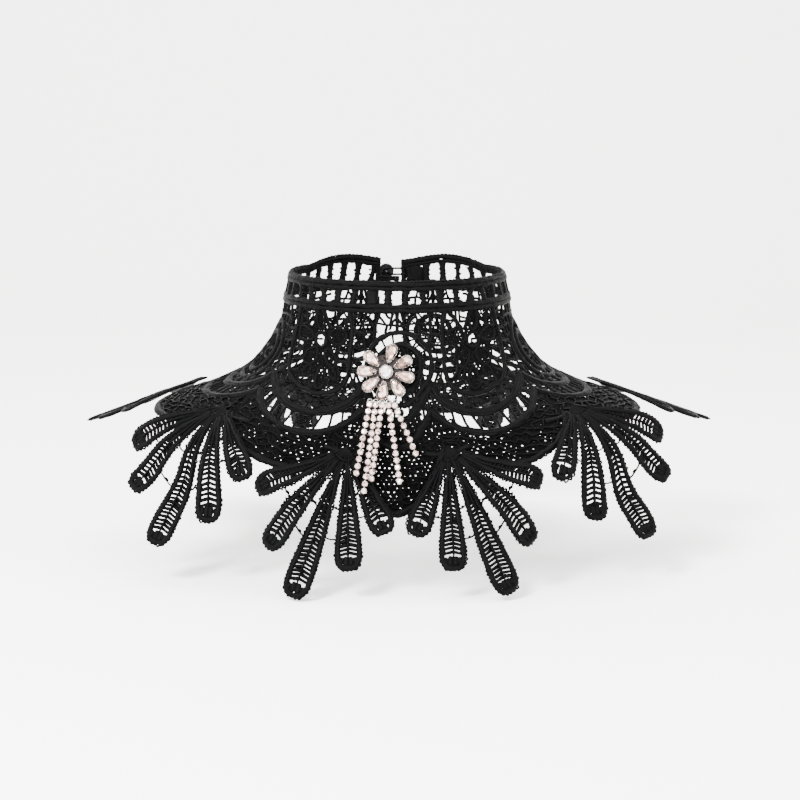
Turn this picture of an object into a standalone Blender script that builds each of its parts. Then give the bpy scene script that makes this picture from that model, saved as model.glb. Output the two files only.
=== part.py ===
"""Lace collar: a neckband with a ladder of gaps, a flared yoke of nine arched
repeats, eight hanging fans of five fingers, a crystal flower brooch with five
chains, and a button with its loop at the back opening.

The origin is in the middle of the neck tube where it sits on the shoulders.
The front faces -Y and +X is on the right in a front view.
"""

import math
from collections import namedtuple

import bmesh
import bpy
import numpy as np
from mathutils import Matrix, Vector
from mathutils.geometry import delaunay_2d_cdt

# Neck tube, measured at the top edge
NECK_HALF_WIDTH = 0.0515
NECK_HALF_DEPTH = 0.0515
NECK_HEIGHT = 0.044

# Cloth
WALL = 0.0016
SEAM_GAP = 0.0003
LAY_GAP = 0.0006
CORD_RAISE = 0.0006
PROFILE_STEP = 0.0005
PROFILE_END = 0.185
GRID_SPACING = 0.0085
SLIVER = 0.004

# Slope of the cloth in degrees below the horizontal, at distances down it
Slope = namedtuple("Slope", "down front side back")
SLOPES = (
    Slope(0.000, 84, 74, 86),
    Slope(0.008, 84, 78, 86),
    Slope(0.017, 84, 83, 82),
    Slope(0.027, 80, 68, 74),
    Slope(0.038, 76, 56, 66),
    Slope(0.050, 72, 46, 60),
    Slope(0.060, 70, 28, 57),
    Slope(0.070, 69, 21, 55),
    Slope(0.082, 68, 19, 54),
    Slope(0.094, 67, 18, 52),
    Slope(0.110, 66, 22, 50),
    Slope(0.135, 65, 25, 48),
    Slope(0.185, 64, 26, 46),
)

# Repeats round the collar
REPEATS = 9
HALF_REPEAT = math.radians(180 / REPEATS)
BACK_LEFT_END = 0.0085
BACK_RIGHT_END = 0.0020
SIDE_SEAM = math.radians(100)
END_BORDER = 0.0012

# Neckband
BAND_DEPTH = 0.0125
BAND_CORD = 0.0026
BACK_LOBE_RISE = 0.0036
BACK_LOBE_CENTRE = math.radians(149)
BACK_LOBE_HALF_WIDTH = math.radians(27)
LADDER_PITCH = 0.0061
LADDER_GAP_WIDTH = 0.0043

# Arches of one repeat: depth at its middle, how far the ends rise, cord width
Arch = namedtuple("Arch", "middle rise cord")
INNER_ARCH = Arch(0.0545, 0.0200, 0.0024)
SECOND_ARCH = Arch(0.0643, 0.0165, 0.0034)
OUTER_ARCH = Arch(0.0776, 0.0175, 0.0038)
RUNG = 0.0014
OUTER_GAPS = 10
DOT_GAPS = 6
ARCH_REACH = 0.93
INNER_REACH = 0.70

# Crescents of net below the arches
FAN_ROOT_DOWN = 0.0820
CRESCENT_DROP = 0.0190
CENTRE_CRESCENT_DROP = 0.0300
YOKE_TOP = BAND_DEPTH + SEAM_GAP

# Gaps in the two kinds of medallion: middle across and down, size, lean, corners
Gap = namedtuple("Gap", "across down width height lean corners")
FLOWER_GAPS = (
    Gap(0.0000, 0.0268, 0.0072, 0.0072, 0, 8),
    Gap(-0.0092, 0.0188, 0.0062, 0.0050, -16, 6),
    Gap(0.0092, 0.0188, 0.0070, 0.0050, 16, 6),
    Gap(-0.0122, 0.0372, 0.0062, 0.0112, 8, 6),
    Gap(0.0122, 0.0372, 0.0066, 0.0112, -8, 6),
    Gap(-0.0070, 0.0489, 0.0078, 0.0046, 18, 6),
    Gap(0.0070, 0.0489, 0.0092, 0.0046, -18, 6),
)
RING_GAPS = (
    Gap(0.0000, 0.0225, 0.0092, 0.0050, 0, 6),
    Gap(-0.0094, 0.0285, 0.0054, 0.0088, 28, 6),
    Gap(0.0094, 0.0285, 0.0054, 0.0088, -28, 6),
    Gap(0.0000, 0.0370, 0.0066, 0.0088, 0, 8),
    Gap(-0.0092, 0.0430, 0.0056, 0.0082, -20, 6),
    Gap(0.0092, 0.0430, 0.0056, 0.0082, 20, 6),
)
# Gaps between two medallions, placed from the line where repeats meet
JUNCTION_GAPS = (
    Gap(-0.0035, 0.0190, 0.0052, 0.0076, 24, 4),
    Gap(0.0040, 0.0245, 0.0052, 0.0084, -20, 4),
    Gap(-0.0030, 0.0305, 0.0060, 0.0074, 30, 4),
    Gap(0.0020, 0.0400, 0.0066, 0.0086, -12, 4),
    Gap(-0.0034, 0.0704, 0.0044, 0.0056, 20, 6),
    Gap(0.0034, 0.0704, 0.0044, 0.0056, -20, 6),
)

# Fans: the side each is on, where it hangs, the way it faces and its slope in
# degrees, its turn in its own plane, its size and the radius of its bow
Fan = namedtuple("Fan", "name side azimuth heading slope turn size bow")
FANS = (
    Fan("front_left", -1, 18.0, 18.0, 67, -3, 0.97, 0.110),
    Fan("front_right", 1, 18.5, 18.5, 67, 0, 0.97, 0.110),
    Fan("side_left", -1, 62.0, 21, 63, 2, 0.96, 0.150),
    Fan("side_right", 1, 63.0, 24, 62, 5, 0.95, 0.150),
    Fan("shoulder_left", -1, 101.0, 98, 21, 0, 0.98, 0.220),
    Fan("shoulder_right", 1, 101.0, 98, 20, 0, 1.00, 0.220),
    Fan("back_left", -1, 141.0, 141, 38, 0, 0.97, 0.120),
    Fan("back_right", 1, 141.0, 141, 38, 0, 0.97, 0.120),
)
# Fingers of a fan: angle from straight down the cloth, on the side it leans to
Finger = namedtuple("Finger", "angle length width")
FINGERS = (
    Finger(-28, 0.0465, 0.0118),
    Finger(-5, 0.0600, 0.0128),
    Finger(17, 0.0765, 0.0140),
    Finger(37, 0.0635, 0.0128),
    Finger(57, 0.0520, 0.0118),
)
FINGER_ROOT_WIDTH = 0.0036
FINGER_NOTCH = 0.0125
FAN_CROWN = 0.0040
VEIN_STEPS = (0.30, 0.50, 0.70, 0.90)
FAN_CLEAR = 0.0026
FAN_FADE = 0.014

# Brooch and its chains, from the middle of the brooch
BROOCH_AZIMUTH = math.radians(-4.8)
BROOCH_DOWN = 0.0440
BACK_RADIUS = 0.0085
BACK_THICK = 0.0010
STONE_RADIUS = 0.0032
STONE_HEIGHT = 0.0038
# Petals: degrees clockwise from the top, in a front view
PETAL_TURNS = (14, 61, 103, 144, 189, 230, 271, 312)
PETAL_INNER = 0.0042
PETAL_OUTER = 0.0143
PETAL_WIDTH = 0.0064
PETAL_HEIGHT = 0.0028
CHAIN_RADIUS = 0.0015
CHAIN_LIFT = 0.0062
CHAIN_END_LIFT = 0.0088
CHAIN_START_DOWN = 0.0596
BAR_HALF = 0.0012
# Chains: how far across each starts, and where it ends across and down
Chain = namedtuple("Chain", "start_across end_across end_down")
CHAINS = (
    Chain(-0.0122, -0.0192, 0.0950),
    Chain(-0.0095, -0.0158, 0.1030),
    Chain(-0.0067, -0.0122, 0.0965),
    Chain(-0.0039, 0.0012, 0.0970),
    Chain(-0.0011, 0.0088, 0.0840),
)
CHAIN_STEPS = 6

# Button and loop at the back opening
BUTTON_RADIUS = 0.0040
BUTTON_HEIGHT = 0.0028
BUTTON_ACROSS = -0.0052
BUTTON_DOWN = 0.0062
BUTTON_TAB = 0.0024
SHANK_RADIUS = 0.0008
LOOP_RADIUS = 0.0005

BLACK_THREAD = (0.012, 0.012, 0.014, 1)
CRYSTAL_PINK = (0.86, 0.76, 0.72, 1)
SILVER = (0.72, 0.70, 0.68, 1)
BLACK_PLASTIC = (0.01, 0.01, 0.012, 1)


def clear_scene():
    for item in list(bpy.data.objects):
        bpy.data.objects.remove(item, do_unlink=True)


def material(name, colour, roughness, metallic=0.0):
    made = bpy.data.materials.new(name)
    made.use_nodes = True
    shader = made.node_tree.nodes["Principled BSDF"]
    shader.inputs["Base Color"].default_value = colour
    shader.inputs["Roughness"].default_value = roughness
    shader.inputs["Metallic"].default_value = metallic
    return made


def profiles():
    """How far out and down the cloth runs at the front, side and back."""
    down = np.arange(0, PROFILE_END + PROFILE_STEP, PROFILE_STEP)
    runs = {}
    for side in ("front", "side", "back"):
        slope = np.interp(down, [row.down for row in SLOPES], [getattr(row, side) for row in SLOPES])
        slope = np.radians(slope)
        middle = (slope[1:] + slope[:-1]) / 2
        out = np.concatenate(([0], np.cumsum(np.cos(middle)) * PROFILE_STEP))
        drop = np.concatenate(([0], np.cumsum(np.sin(middle)) * PROFILE_STEP))
        runs[side] = (out, drop)
    return down, runs


PROFILE_DOWN, PROFILES = profiles()


def run_along(side, down):
    """Out and drop of one profile; above the top edge it goes straight up."""
    out, drop = PROFILES[side]
    above = np.minimum(down, 0)
    return np.interp(down, PROFILE_DOWN, out), np.interp(down, PROFILE_DOWN, drop) + above


def inside_face(azimuth, down):
    """Points on the inside face of the cloth."""
    azimuth = np.asarray(azimuth, float)
    down = np.asarray(down, float)
    cosine = np.cos(azimuth)
    share = cosine ** 2
    side_out, side_drop = run_along("side", down)
    front_out, front_drop = run_along("front", down)
    back_out, back_drop = run_along("back", down)
    end_out = np.where(cosine > 0, front_out, back_out)
    end_drop = np.where(cosine > 0, front_drop, back_drop)
    out = side_out + (end_out - side_out) * share
    drop = side_drop + (end_drop - side_drop) * share
    across = (NECK_HALF_WIDTH + out) * np.sin(azimuth)
    depth = -(NECK_HALF_DEPTH + out) * cosine
    return np.stack([across, depth, NECK_HEIGHT - drop], axis=-1)


def outward(azimuth, down):
    """Unit directions that point away from the neck."""
    small_turn = 0.002
    small_step = 0.0008
    along = inside_face(azimuth + small_turn, down) - inside_face(azimuth - small_turn, down)
    below = inside_face(azimuth, down + small_step) - inside_face(azimuth, down - small_step)
    normal = np.cross(below, along)
    return normal / np.linalg.norm(normal, axis=-1, keepdims=True)


def cloth(azimuth, down, lift):
    """Points at a height over the inside face of the cloth."""
    azimuth = np.asarray(azimuth, float)
    down = np.asarray(down, float)
    lift = np.asarray(lift, float)
    return inside_face(azimuth, down) + outward(azimuth, down) * lift[..., None]


def ring_radius(azimuth, down):
    """Horizontal distance of the cloth from the axis of the neck."""
    point = inside_face(azimuth, down)
    return float(math.hypot(point[0], point[1]))


def band_top(azimuth):
    """The top edge rises in a lobe each side of the back opening."""
    reach = (abs(azimuth) - BACK_LOBE_CENTRE) / BACK_LOBE_HALF_WIDTH
    if abs(reach) >= 1:
        return 0.0
    return -BACK_LOBE_RISE * math.cos(reach * math.pi / 2) ** 1.2


def crescent_edge(azimuth):
    """Bottom edge of the net under each arch."""
    repeat = round(azimuth / (2 * HALF_REPEAT))
    reach = min(1, abs(azimuth - repeat * 2 * HALF_REPEAT) / HALF_REPEAT)
    if repeat == 0:
        return FAN_ROOT_DOWN + CENTRE_CRESCENT_DROP * (1 - reach ** 1.6)
    return FAN_ROOT_DOWN + CRESCENT_DROP * (1 - reach ** 2.2) ** 0.8


def flat(azimuth, down):
    """Place in a flat pattern, in millimetres, in which the cloth is cut."""
    return azimuth * (60 + 550 * down), down * 1000


def unflat(x, y):
    down = y / 1000
    return x / (60 + 550 * down), down


def plain(across, down):
    return across * 1000, down * 1000


def unplain(x, y):
    return x / 1000, y / 1000


def inside(point, ring):
    """True where a flat point lies inside a closed ring."""
    found = False
    x, y = point
    previous = ring[-1]
    for corner in ring:
        if (corner[1] > y) != (previous[1] > y):
            share = (y - corner[1]) / (previous[1] - corner[1])
            if x < corner[0] + share * (previous[0] - corner[0]):
                found = not found
        previous = corner
    return found


def grid_points(outline, gaps, taken):
    """Points that keep the wide uncut stretches on the curve of the cloth."""
    spacing = GRID_SPACING * 1000
    taken = np.array(taken)
    low = taken.min(axis=0)
    high = taken.max(axis=0)
    points = []
    row = 0
    y = low[1] + spacing / 2
    while y < high[1]:
        x = low[0] + spacing / 2 * (1 + row % 2)
        while x < high[0]:
            clear = np.min(np.hypot(taken[:, 0] - x, taken[:, 1] - y)) > spacing * 0.5
            if clear and inside((x, y), outline) and not any(inside((x, y), gap) for gap in gaps):
                points.append((x, y))
            x += spacing
        y += spacing * 0.87
        row += 1
    return points


def wall(name, outline, gaps, ridges, raise_to, surface):
    """A closed wall from its flat pattern, with gaps cut through.

    raise_to gives the points of the pattern at a height over its inside face.
    """
    to_flat, from_flat = (flat, unflat) if raise_to is cloth else (plain, unplain)
    rings = [[to_flat(*point) for point in ring] for ring in [outline] + gaps]
    coords = []
    edges = []
    for ring in rings:
        first = len(coords)
        coords += ring
        edges += [(first + k, first + (k + 1) % len(ring)) for k in range(len(ring))]
    ridge_start = len(coords)
    for line in ridges:
        first = len(coords)
        coords += [to_flat(*point) for point in line]
        edges += [(first + k, first + k + 1) for k in range(len(line) - 1)]
    ridge_end = len(coords)
    coords += grid_points(rings[0], rings[1:], coords)
    cut = delaunay_2d_cdt([Vector(point) for point in coords], edges, [], 1, 1e-4, True)
    points, _, faces, sources = cut[0], cut[1], cut[2], cut[3]
    kept = []
    for face in faces:
        a, b, c = (points[k] for k in face)
        middle = (a + b + c) / 3
        if abs((b - a).cross(c - a)) < SLIVER:
            continue
        if inside(middle, rings[0]) and not any(inside(middle, ring) for ring in rings[1:]):
            kept.append(tuple(face))
    used = sorted({k for face in kept for k in face})
    number = {k: n for n, k in enumerate(used)}
    places = np.array([from_flat(*points[k]) for k in used])
    raised = [any(ridge_start <= source < ridge_end for source in sources[k]) for k in used]
    outer = raise_to(places[:, 0], places[:, 1], WALL + np.where(raised, CORD_RAISE, 0))
    inner = raise_to(places[:, 0], places[:, 1], np.zeros(len(used)))
    body = bmesh.new()
    outer = [body.verts.new(point) for point in outer]
    inner = [body.verts.new(point) for point in inner]
    sides = {}
    for face in kept:
        corners = [number[k] for k in face]
        body.faces.new([outer[k] for k in reversed(corners)])
        body.faces.new([inner[k] for k in corners])
        for a, b in zip(corners, corners[1:] + corners[:1]):
            if (b, a) in sides:
                del sides[(b, a)]
            else:
                sides[(a, b)] = True
    for a, b in sides:
        body.faces.new((outer[a], outer[b], inner[b], inner[a]))
    bmesh.ops.triangulate(body, faces=body.faces[:])
    bmesh.ops.recalc_face_normals(body, faces=body.faces[:])
    return place_mesh(name, body, surface)


def place_mesh(name, body, surface):
    mesh = bpy.data.meshes.new(name)
    body.to_mesh(mesh)
    body.free()
    mesh.materials.append(surface)
    made = bpy.data.objects.new(name, mesh)
    bpy.context.scene.collection.objects.link(made)
    return made


def gap_ring(gap, azimuth, width_scale, flip=1):
    """Corners of one gap, placed from the middle line of a repeat or junction."""
    lean = math.radians(gap.lean) * flip
    turn = math.pi / 4 if gap.corners == 4 else 0
    grow = 1.25 if gap.corners == 4 else 1.0
    ring = []
    for k in range(gap.corners):
        angle = turn + 2 * math.pi * k / gap.corners + math.pi / 2
        across = gap.width / 2 * grow * math.cos(angle)
        down = gap.height / 2 * grow * math.sin(angle)
        x = across * math.cos(lean) - down * math.sin(lean)
        y = across * math.sin(lean) + down * math.cos(lean)
        ring.append((azimuth + (gap.across * flip + x) * width_scale, gap.down + y))
    return ring


def arch_point(arch, reach, offset, half_width):
    """A point beside an arch; reach is -1 to 1 across the repeat."""
    down = arch.middle - arch.rise * reach ** 2
    fall = -2 * arch.rise * reach / half_width
    length = math.hypot(1, fall)
    across = reach * half_width - fall * offset / length
    return across / half_width, down + offset / length


def arch_reaches(arch, count, limit, half_width):
    """Reaches that step evenly along the curve of an arch."""
    fine = np.linspace(-limit, limit, 201)
    down = arch.middle - arch.rise * fine ** 2
    steps = np.hypot(np.diff(fine) * half_width, np.diff(down))
    run = np.concatenate(([0], np.cumsum(steps)))
    return np.interp(np.linspace(0, run[-1], count), run, fine)


def row_gaps(upper, lower, count, limit, middle, half_width):
    """Gaps between two arches, with rungs left between them."""
    high = arch_reaches(upper, count + 1, limit, half_width)
    low = arch_reaches(lower, count + 1, limit * 1.03, half_width)
    inset = RUNG / 2 / half_width
    rings = []
    for k in range(count):
        corners = (
            arch_point(upper, high[k] + inset, upper.cord / 2, half_width),
            arch_point(upper, high[k + 1] - inset, upper.cord / 2, half_width),
            arch_point(lower, low[k + 1] - inset, -lower.cord / 2, half_width),
            arch_point(lower, low[k] + inset, -lower.cord / 2, half_width),
        )
        rings.append([(middle + reach * HALF_REPEAT, down) for reach, down in corners])
    return rings


def arch_line(arch, limit, count, middle, half_width):
    """Middle line of the raised cord of an arch."""
    line = []
    for reach in arch_reaches(arch, count, limit, half_width):
        line.append((middle + reach * HALF_REPEAT, arch.middle - arch.rise * reach ** 2))
    return line


def repeat_half_width(middle):
    return HALF_REPEAT * ring_radius(middle, 0.060)


def in_span(ring, low, high):
    """True where a ring leaves a plain border at both ends of a stretch."""
    border = END_BORDER / NECK_HALF_WIDTH
    return all(low + border < point[0] < high - border for point in ring)


def yoke_gaps(low, high):
    gaps = []
    for index in range(-(REPEATS // 2), REPEATS // 2 + 1):
        middle = index * 2 * HALF_REPEAT
        half_width = repeat_half_width(middle)
        scale = HALF_REPEAT / half_width
        rows = FLOWER_GAPS if index % 2 else RING_GAPS
        found = [gap_ring(gap, middle, scale) for gap in rows]
        found += row_gaps(SECOND_ARCH, OUTER_ARCH, OUTER_GAPS, ARCH_REACH, middle, half_width)
        found += row_gaps(INNER_ARCH, SECOND_ARCH, DOT_GAPS, INNER_REACH, middle, half_width)
        gaps += [ring for ring in found if in_span(ring, low, high)]
    for index in range(-(REPEATS // 2), REPEATS // 2):
        middle = (2 * index + 1) * HALF_REPEAT
        scale = HALF_REPEAT / repeat_half_width(middle)
        flip = 1 if index >= 0 else -1
        found = [gap_ring(gap, middle, scale, flip) for gap in JUNCTION_GAPS]
        gaps += [ring for ring in found if in_span(ring, low, high)]
    return gaps


def yoke_ridges(low, high):
    lines = []
    for index in range(-(REPEATS // 2), REPEATS // 2 + 1):
        middle = index * 2 * HALF_REPEAT
        half_width = repeat_half_width(middle)
        found = [
            arch_line(OUTER_ARCH, ARCH_REACH, 11, middle, half_width),
            arch_line(SECOND_ARCH, ARCH_REACH, 11, middle, half_width),
            arch_line(INNER_ARCH, INNER_REACH, 8, middle, half_width),
        ]
        border = END_BORDER / NECK_HALF_WIDTH
        found = [[point for point in line if low + border < point[0] < high - border] for line in found]
        lines += [line for line in found if len(line) > 1]
    return lines


def spaced(low, high, pitch):
    count = max(2, round((high - low) / pitch) + 1)
    return list(np.linspace(low, high, count))


def yoke(name, low, high, thread):
    """A stretch of the yoke between two azimuths."""
    bottom = [(azimuth, crescent_edge(azimuth)) for azimuth in spaced(low, high, math.radians(4))]
    top = [(azimuth, YOKE_TOP) for azimuth in spaced(low, high, math.radians(5))]
    right = [(high, down) for down in spaced(YOKE_TOP, bottom[-1][1], GRID_SPACING)[1:-1]]
    left = [(low, down) for down in spaced(YOKE_TOP, bottom[0][1], GRID_SPACING)[-2:0:-1]]
    outline = top + right + bottom[::-1] + left
    return wall(name, outline, yoke_gaps(low, high), yoke_ridges(low, high), cloth, thread)


def ladder_gaps(low, high):
    """One row of tall gaps round the neckband."""
    length = (high - low) * NECK_HALF_WIDTH
    count = int(length / LADDER_PITCH)
    pitch = (high - low) / count
    half = LADDER_GAP_WIDTH / 2 / NECK_HALF_WIDTH
    rings = []
    for k in range(count):
        middle = low + (k + 0.5) * pitch
        top = band_top(middle) + BAND_CORD
        bottom = BAND_DEPTH - BAND_CORD
        shoulder = 0.0013
        rings.append([
            (middle - half, top + shoulder),
            (middle, top),
            (middle + half, top + shoulder),
            (middle + half, bottom - shoulder),
            (middle, bottom),
            (middle - half, bottom - shoulder),
        ])
    return rings


def button_tab(low):
    """The narrow tongue at the left end that the button is sewn to."""
    end = low - (BACK_LEFT_END + BUTTON_ACROSS + SHANK_RADIUS) / NECK_HALF_DEPTH
    half = BUTTON_TAB / 2
    return [(low, BUTTON_DOWN + half), (end, BUTTON_DOWN + half),
            (end, BUTTON_DOWN - half), (low, BUTTON_DOWN - half)]


def neckband(name, low, high, thread):
    """A stretch of the neckband between two azimuths."""
    steps = spaced(low, high, math.radians(6.5))
    outline = [(azimuth, band_top(azimuth)) for azimuth in steps]
    outline += [(azimuth, BAND_DEPTH) for azimuth in reversed(steps)]
    if name.endswith("back_left"):
        outline += button_tab(low)
    edge = (steps[1] - steps[0]) / 2
    inner_steps = spaced(low + edge, high - edge, math.radians(6.5))
    ridges = [
        [(azimuth, band_top(azimuth) + BAND_CORD / 2) for azimuth in inner_steps],
        [(azimuth, BAND_DEPTH - BAND_CORD / 2) for azimuth in inner_steps],
    ]
    return wall(name, outline, ladder_gaps(low, high), ridges, cloth, thread)


def finger_outline(finger, turn, size):
    """Outline of a finger from its root, as distances across and down the fan."""
    angle = math.radians(finger.angle + turn)
    tip = finger.width / 2
    length = finger.length * size
    stations = (
        (FINGER_NOTCH + 0.004, FINGER_ROOT_WIDTH / 2 + 0.0004),
        (length * 0.45, tip * 0.62),
        (length - tip * 1.5, tip),
        (length - tip * 0.42, tip * 0.86),
        (length, tip * 0.36),
    )
    left = [(along, -half) for along, half in stations]
    right = [(along, half) for along, half in reversed(stations)]
    points = []
    for along, half in left + right:
        across = along * math.sin(angle) + half * math.cos(angle)
        down = along * math.cos(angle) - half * math.sin(angle)
        points.append((across, down))
    return points


def push_off_yoke(points):
    """Moves that take points of a fan just clear of the net that they lie on."""
    steps = np.arange(FAN_ROOT_DOWN - 0.010, FAN_ROOT_DOWN + 0.045, 0.0005)
    moves = np.zeros_like(points)
    for k, point in enumerate(points):
        azimuth = math.atan2(point[0], -point[1])
        face = inside_face(np.full(len(steps), azimuth), steps)
        nearest = steps[np.argmin(np.linalg.norm(face - point, axis=1))]
        beyond = (nearest - crescent_edge(azimuth)) / FAN_FADE
        if beyond >= 1:
            continue
        normal = outward(np.float64(azimuth), nearest)
        height = np.dot(point - inside_face(azimuth, nearest), normal)
        share = 1 - max(0, beyond) ** 2
        moves[k] = normal * max(0, FAN_CLEAR - height) * share
    return moves


def fan_surface(fan):
    """Raises the flat points of a fan onto its bowed plane."""
    azimuth = fan.side * math.radians(fan.azimuth)
    heading = fan.side * math.radians(fan.heading)
    slope = math.radians(fan.slope)
    root = cloth(azimuth, FAN_ROOT_DOWN, WALL + CORD_RAISE + LAY_GAP)
    facing = np.array([math.sin(heading), -math.cos(heading), 0])
    across_axis = np.array([math.cos(heading), math.sin(heading), 0]) * fan.side
    down_axis = facing * math.cos(slope) - np.array([0, 0, math.sin(slope)])
    out_axis = facing * math.sin(slope) + np.array([0, 0, math.cos(slope)])

    def raised(across, down, lift):
        bend = across ** 2 / (2 * fan.bow)
        flat_part = np.outer(across, across_axis) + np.outer(down, down_axis)
        laid = root + flat_part - np.outer(bend, out_axis)
        return laid + push_off_yoke(laid) + np.outer(lift, out_axis)

    return raised


def fan_wall(fan, thread):
    """A fan of five fingers that share a small crown."""
    outline = []
    for k, finger in enumerate(FINGERS):
        outline += finger_outline(finger, fan.turn, fan.size)
        if k + 1 < len(FINGERS):
            between = math.radians((finger.angle + FINGERS[k + 1].angle) / 2 + fan.turn)
            outline.append((FINGER_NOTCH * math.sin(between), FINGER_NOTCH * math.cos(between)))
    outline += [(FAN_CROWN, 0.0), (FAN_CROWN * 0.6, -FAN_CROWN), (-FAN_CROWN * 0.6, -FAN_CROWN), (-FAN_CROWN, 0.0)]
    veins = []
    for finger in FINGERS:
        angle = math.radians(finger.angle + fan.turn)
        length = finger.length * fan.size
        veins.append([
            (length * share * math.sin(angle), length * share * math.cos(angle))
            for share in VEIN_STEPS
        ])
    return wall(f"fan_{fan.name}", outline, [], veins, fan_surface(fan), thread)


def seat(azimuth, down, lift, turn=0.0):
    """Frame on the cloth: X across, Y up the cloth, Z outward."""
    point = Vector(cloth(azimuth, down, lift))
    out = Vector(outward(np.float64(azimuth), np.float64(down)))
    up = Vector((0, 0, 1))
    up = (up - out * up.dot(out)).normalized()
    across = up.cross(out)
    frame = Matrix((across, up, out)).transposed().to_4x4()
    frame.translation = point
    return frame @ Matrix.Rotation(turn, 4, "Z")


def layered(name, rings, frame, surface):
    """A closed solid through rings of equal count; each is a list of points."""
    body = bmesh.new()
    loops = [[body.verts.new(point) for point in ring] for ring in rings]
    for lower, upper in zip(loops, loops[1:]):
        for k in range(len(lower)):
            after = (k + 1) % len(lower)
            body.faces.new((lower[k], lower[after], upper[after], upper[k]))
    body.faces.new(loops[0][::-1])
    body.faces.new(loops[-1])
    bmesh.ops.triangulate(body, faces=body.faces[:])
    bmesh.ops.recalc_face_normals(body, faces=body.faces[:])
    made = place_mesh(name, body, surface)
    made.matrix_world = frame
    return made


def circle(radius, height, count):
    turns = [2 * math.pi * k / count for k in range(count)]
    return [(radius * math.cos(turn), radius * math.sin(turn), height) for turn in turns]


def petal_ring(shrink, height):
    """A teardrop with its point at the middle of the brooch."""
    length = PETAL_OUTER - PETAL_INNER
    middle = PETAL_INNER + length * 0.55
    ring = []
    for k in range(10):
        turn = 2 * math.pi * k / 10
        reach = math.cos(turn)
        width = PETAL_WIDTH / 2 * math.sin(turn) * (1 + 0.28 * reach)
        along = middle + length * (0.45 if reach > 0 else 0.55) * reach
        ring.append((width * shrink, middle + (along - middle) * shrink, height))
    return ring


def brooch(crystal, silver):
    lift = WALL + CORD_RAISE + SEAM_GAP
    layered("brooch_back", [circle(BACK_RADIUS, 0, 16), circle(BACK_RADIUS, BACK_THICK, 16)],
            seat(BROOCH_AZIMUTH, BROOCH_DOWN, lift), silver)
    top = lift + BACK_THICK + SEAM_GAP
    for k, clockwise in enumerate(PETAL_TURNS):
        turn = -math.radians(clockwise)
        rings = [
            petal_ring(0.82, 0),
            petal_ring(1.0, PETAL_HEIGHT * 0.4),
            petal_ring(0.5, PETAL_HEIGHT),
        ]
        layered(f"petal_{k + 1}", rings, seat(BROOCH_AZIMUTH, BROOCH_DOWN, top, turn), crystal)
    rings = [
        circle(STONE_RADIUS * 0.8, 0, 12),
        circle(STONE_RADIUS, STONE_HEIGHT * 0.35, 12),
        circle(STONE_RADIUS * 0.85, STONE_HEIGHT * 0.75, 12),
        circle(STONE_RADIUS * 0.4, STONE_HEIGHT, 12),
    ]
    layered("centre_stone", rings, seat(BROOCH_AZIMUTH, BROOCH_DOWN, top), crystal)


def place_across(across, down):
    """Azimuth at which the front of the cloth is a distance across."""
    azimuth = across / 0.060
    for _ in range(12):
        azimuth = math.asin(across / ring_radius(azimuth, down))
    return azimuth


def strand(points, radius):
    """Rings of four corners along a line of points."""
    rings = []
    for k, point in enumerate(points):
        ahead = points[min(k + 1, len(points) - 1)] - points[max(k - 1, 0)]
        ahead.normalize()
        side = ahead.cross(Vector((0, 1, 0))).normalized()
        out = side.cross(ahead)
        turns = [math.pi / 4 + math.pi / 2 * n for n in range(4)]
        rings.append([point + (side * math.cos(t) + out * math.sin(t)) * radius * 1.2 for t in turns])
    return rings


def chains(silver):
    """Five strands that hang from a bar behind the lower petals."""
    pieces = []
    for k, row in enumerate(CHAINS):
        points = []
        for share in np.linspace(0, 1, CHAIN_STEPS):
            across = row.start_across + (row.end_across - row.start_across) * share
            down = CHAIN_START_DOWN + (row.end_down - CHAIN_START_DOWN) * share
            lift = CHAIN_LIFT + (CHAIN_END_LIFT - CHAIN_LIFT) * share ** 0.5
            points.append(Vector(cloth(place_across(across, down), down, lift)))
        pieces.append(layered(f"chain_strand_{k}", strand(points, CHAIN_RADIUS), Matrix(), silver))
    ends = (CHAINS[0], CHAINS[-1])
    bar_points = []
    for share in np.linspace(0, 1, 5):
        across = ends[0].start_across + (ends[1].start_across - ends[0].start_across) * share
        across += 0.0012 * (2 * share - 1)
        azimuth = place_across(across, CHAIN_START_DOWN)
        bar_points.append(Vector(cloth(azimuth, CHAIN_START_DOWN, CHAIN_LIFT)))
    bar = layered("brooch_chains", bar_strand(bar_points), Matrix(), silver)
    for piece in pieces:
        join = bar.modifiers.new("join", "BOOLEAN")
        join.operation = "UNION"
        join.solver = "EXACT"
        join.object = piece
    dependency = bpy.context.evaluated_depsgraph_get()
    joined = bpy.data.meshes.new_from_object(bar.evaluated_get(dependency))
    bar.modifiers.clear()
    bar.data = joined
    for piece in pieces:
        bpy.data.objects.remove(piece, do_unlink=True)


def bar_strand(points):
    """Square section of the bar, a little larger than a strand."""
    rings = []
    for k, point in enumerate(points):
        ahead = points[min(k + 1, len(points) - 1)] - points[max(k - 1, 0)]
        ahead.normalize()
        side = Vector((0, -1, 0))
        side = (side - ahead * side.dot(ahead)).normalized()
        up = ahead.cross(side)
        corners = ((1, 1), (-1, 1), (-1, -1), (1, -1))
        rings.append([point + (side * a + up * b) * BAR_HALF for a, b in corners])
    return rings


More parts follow.
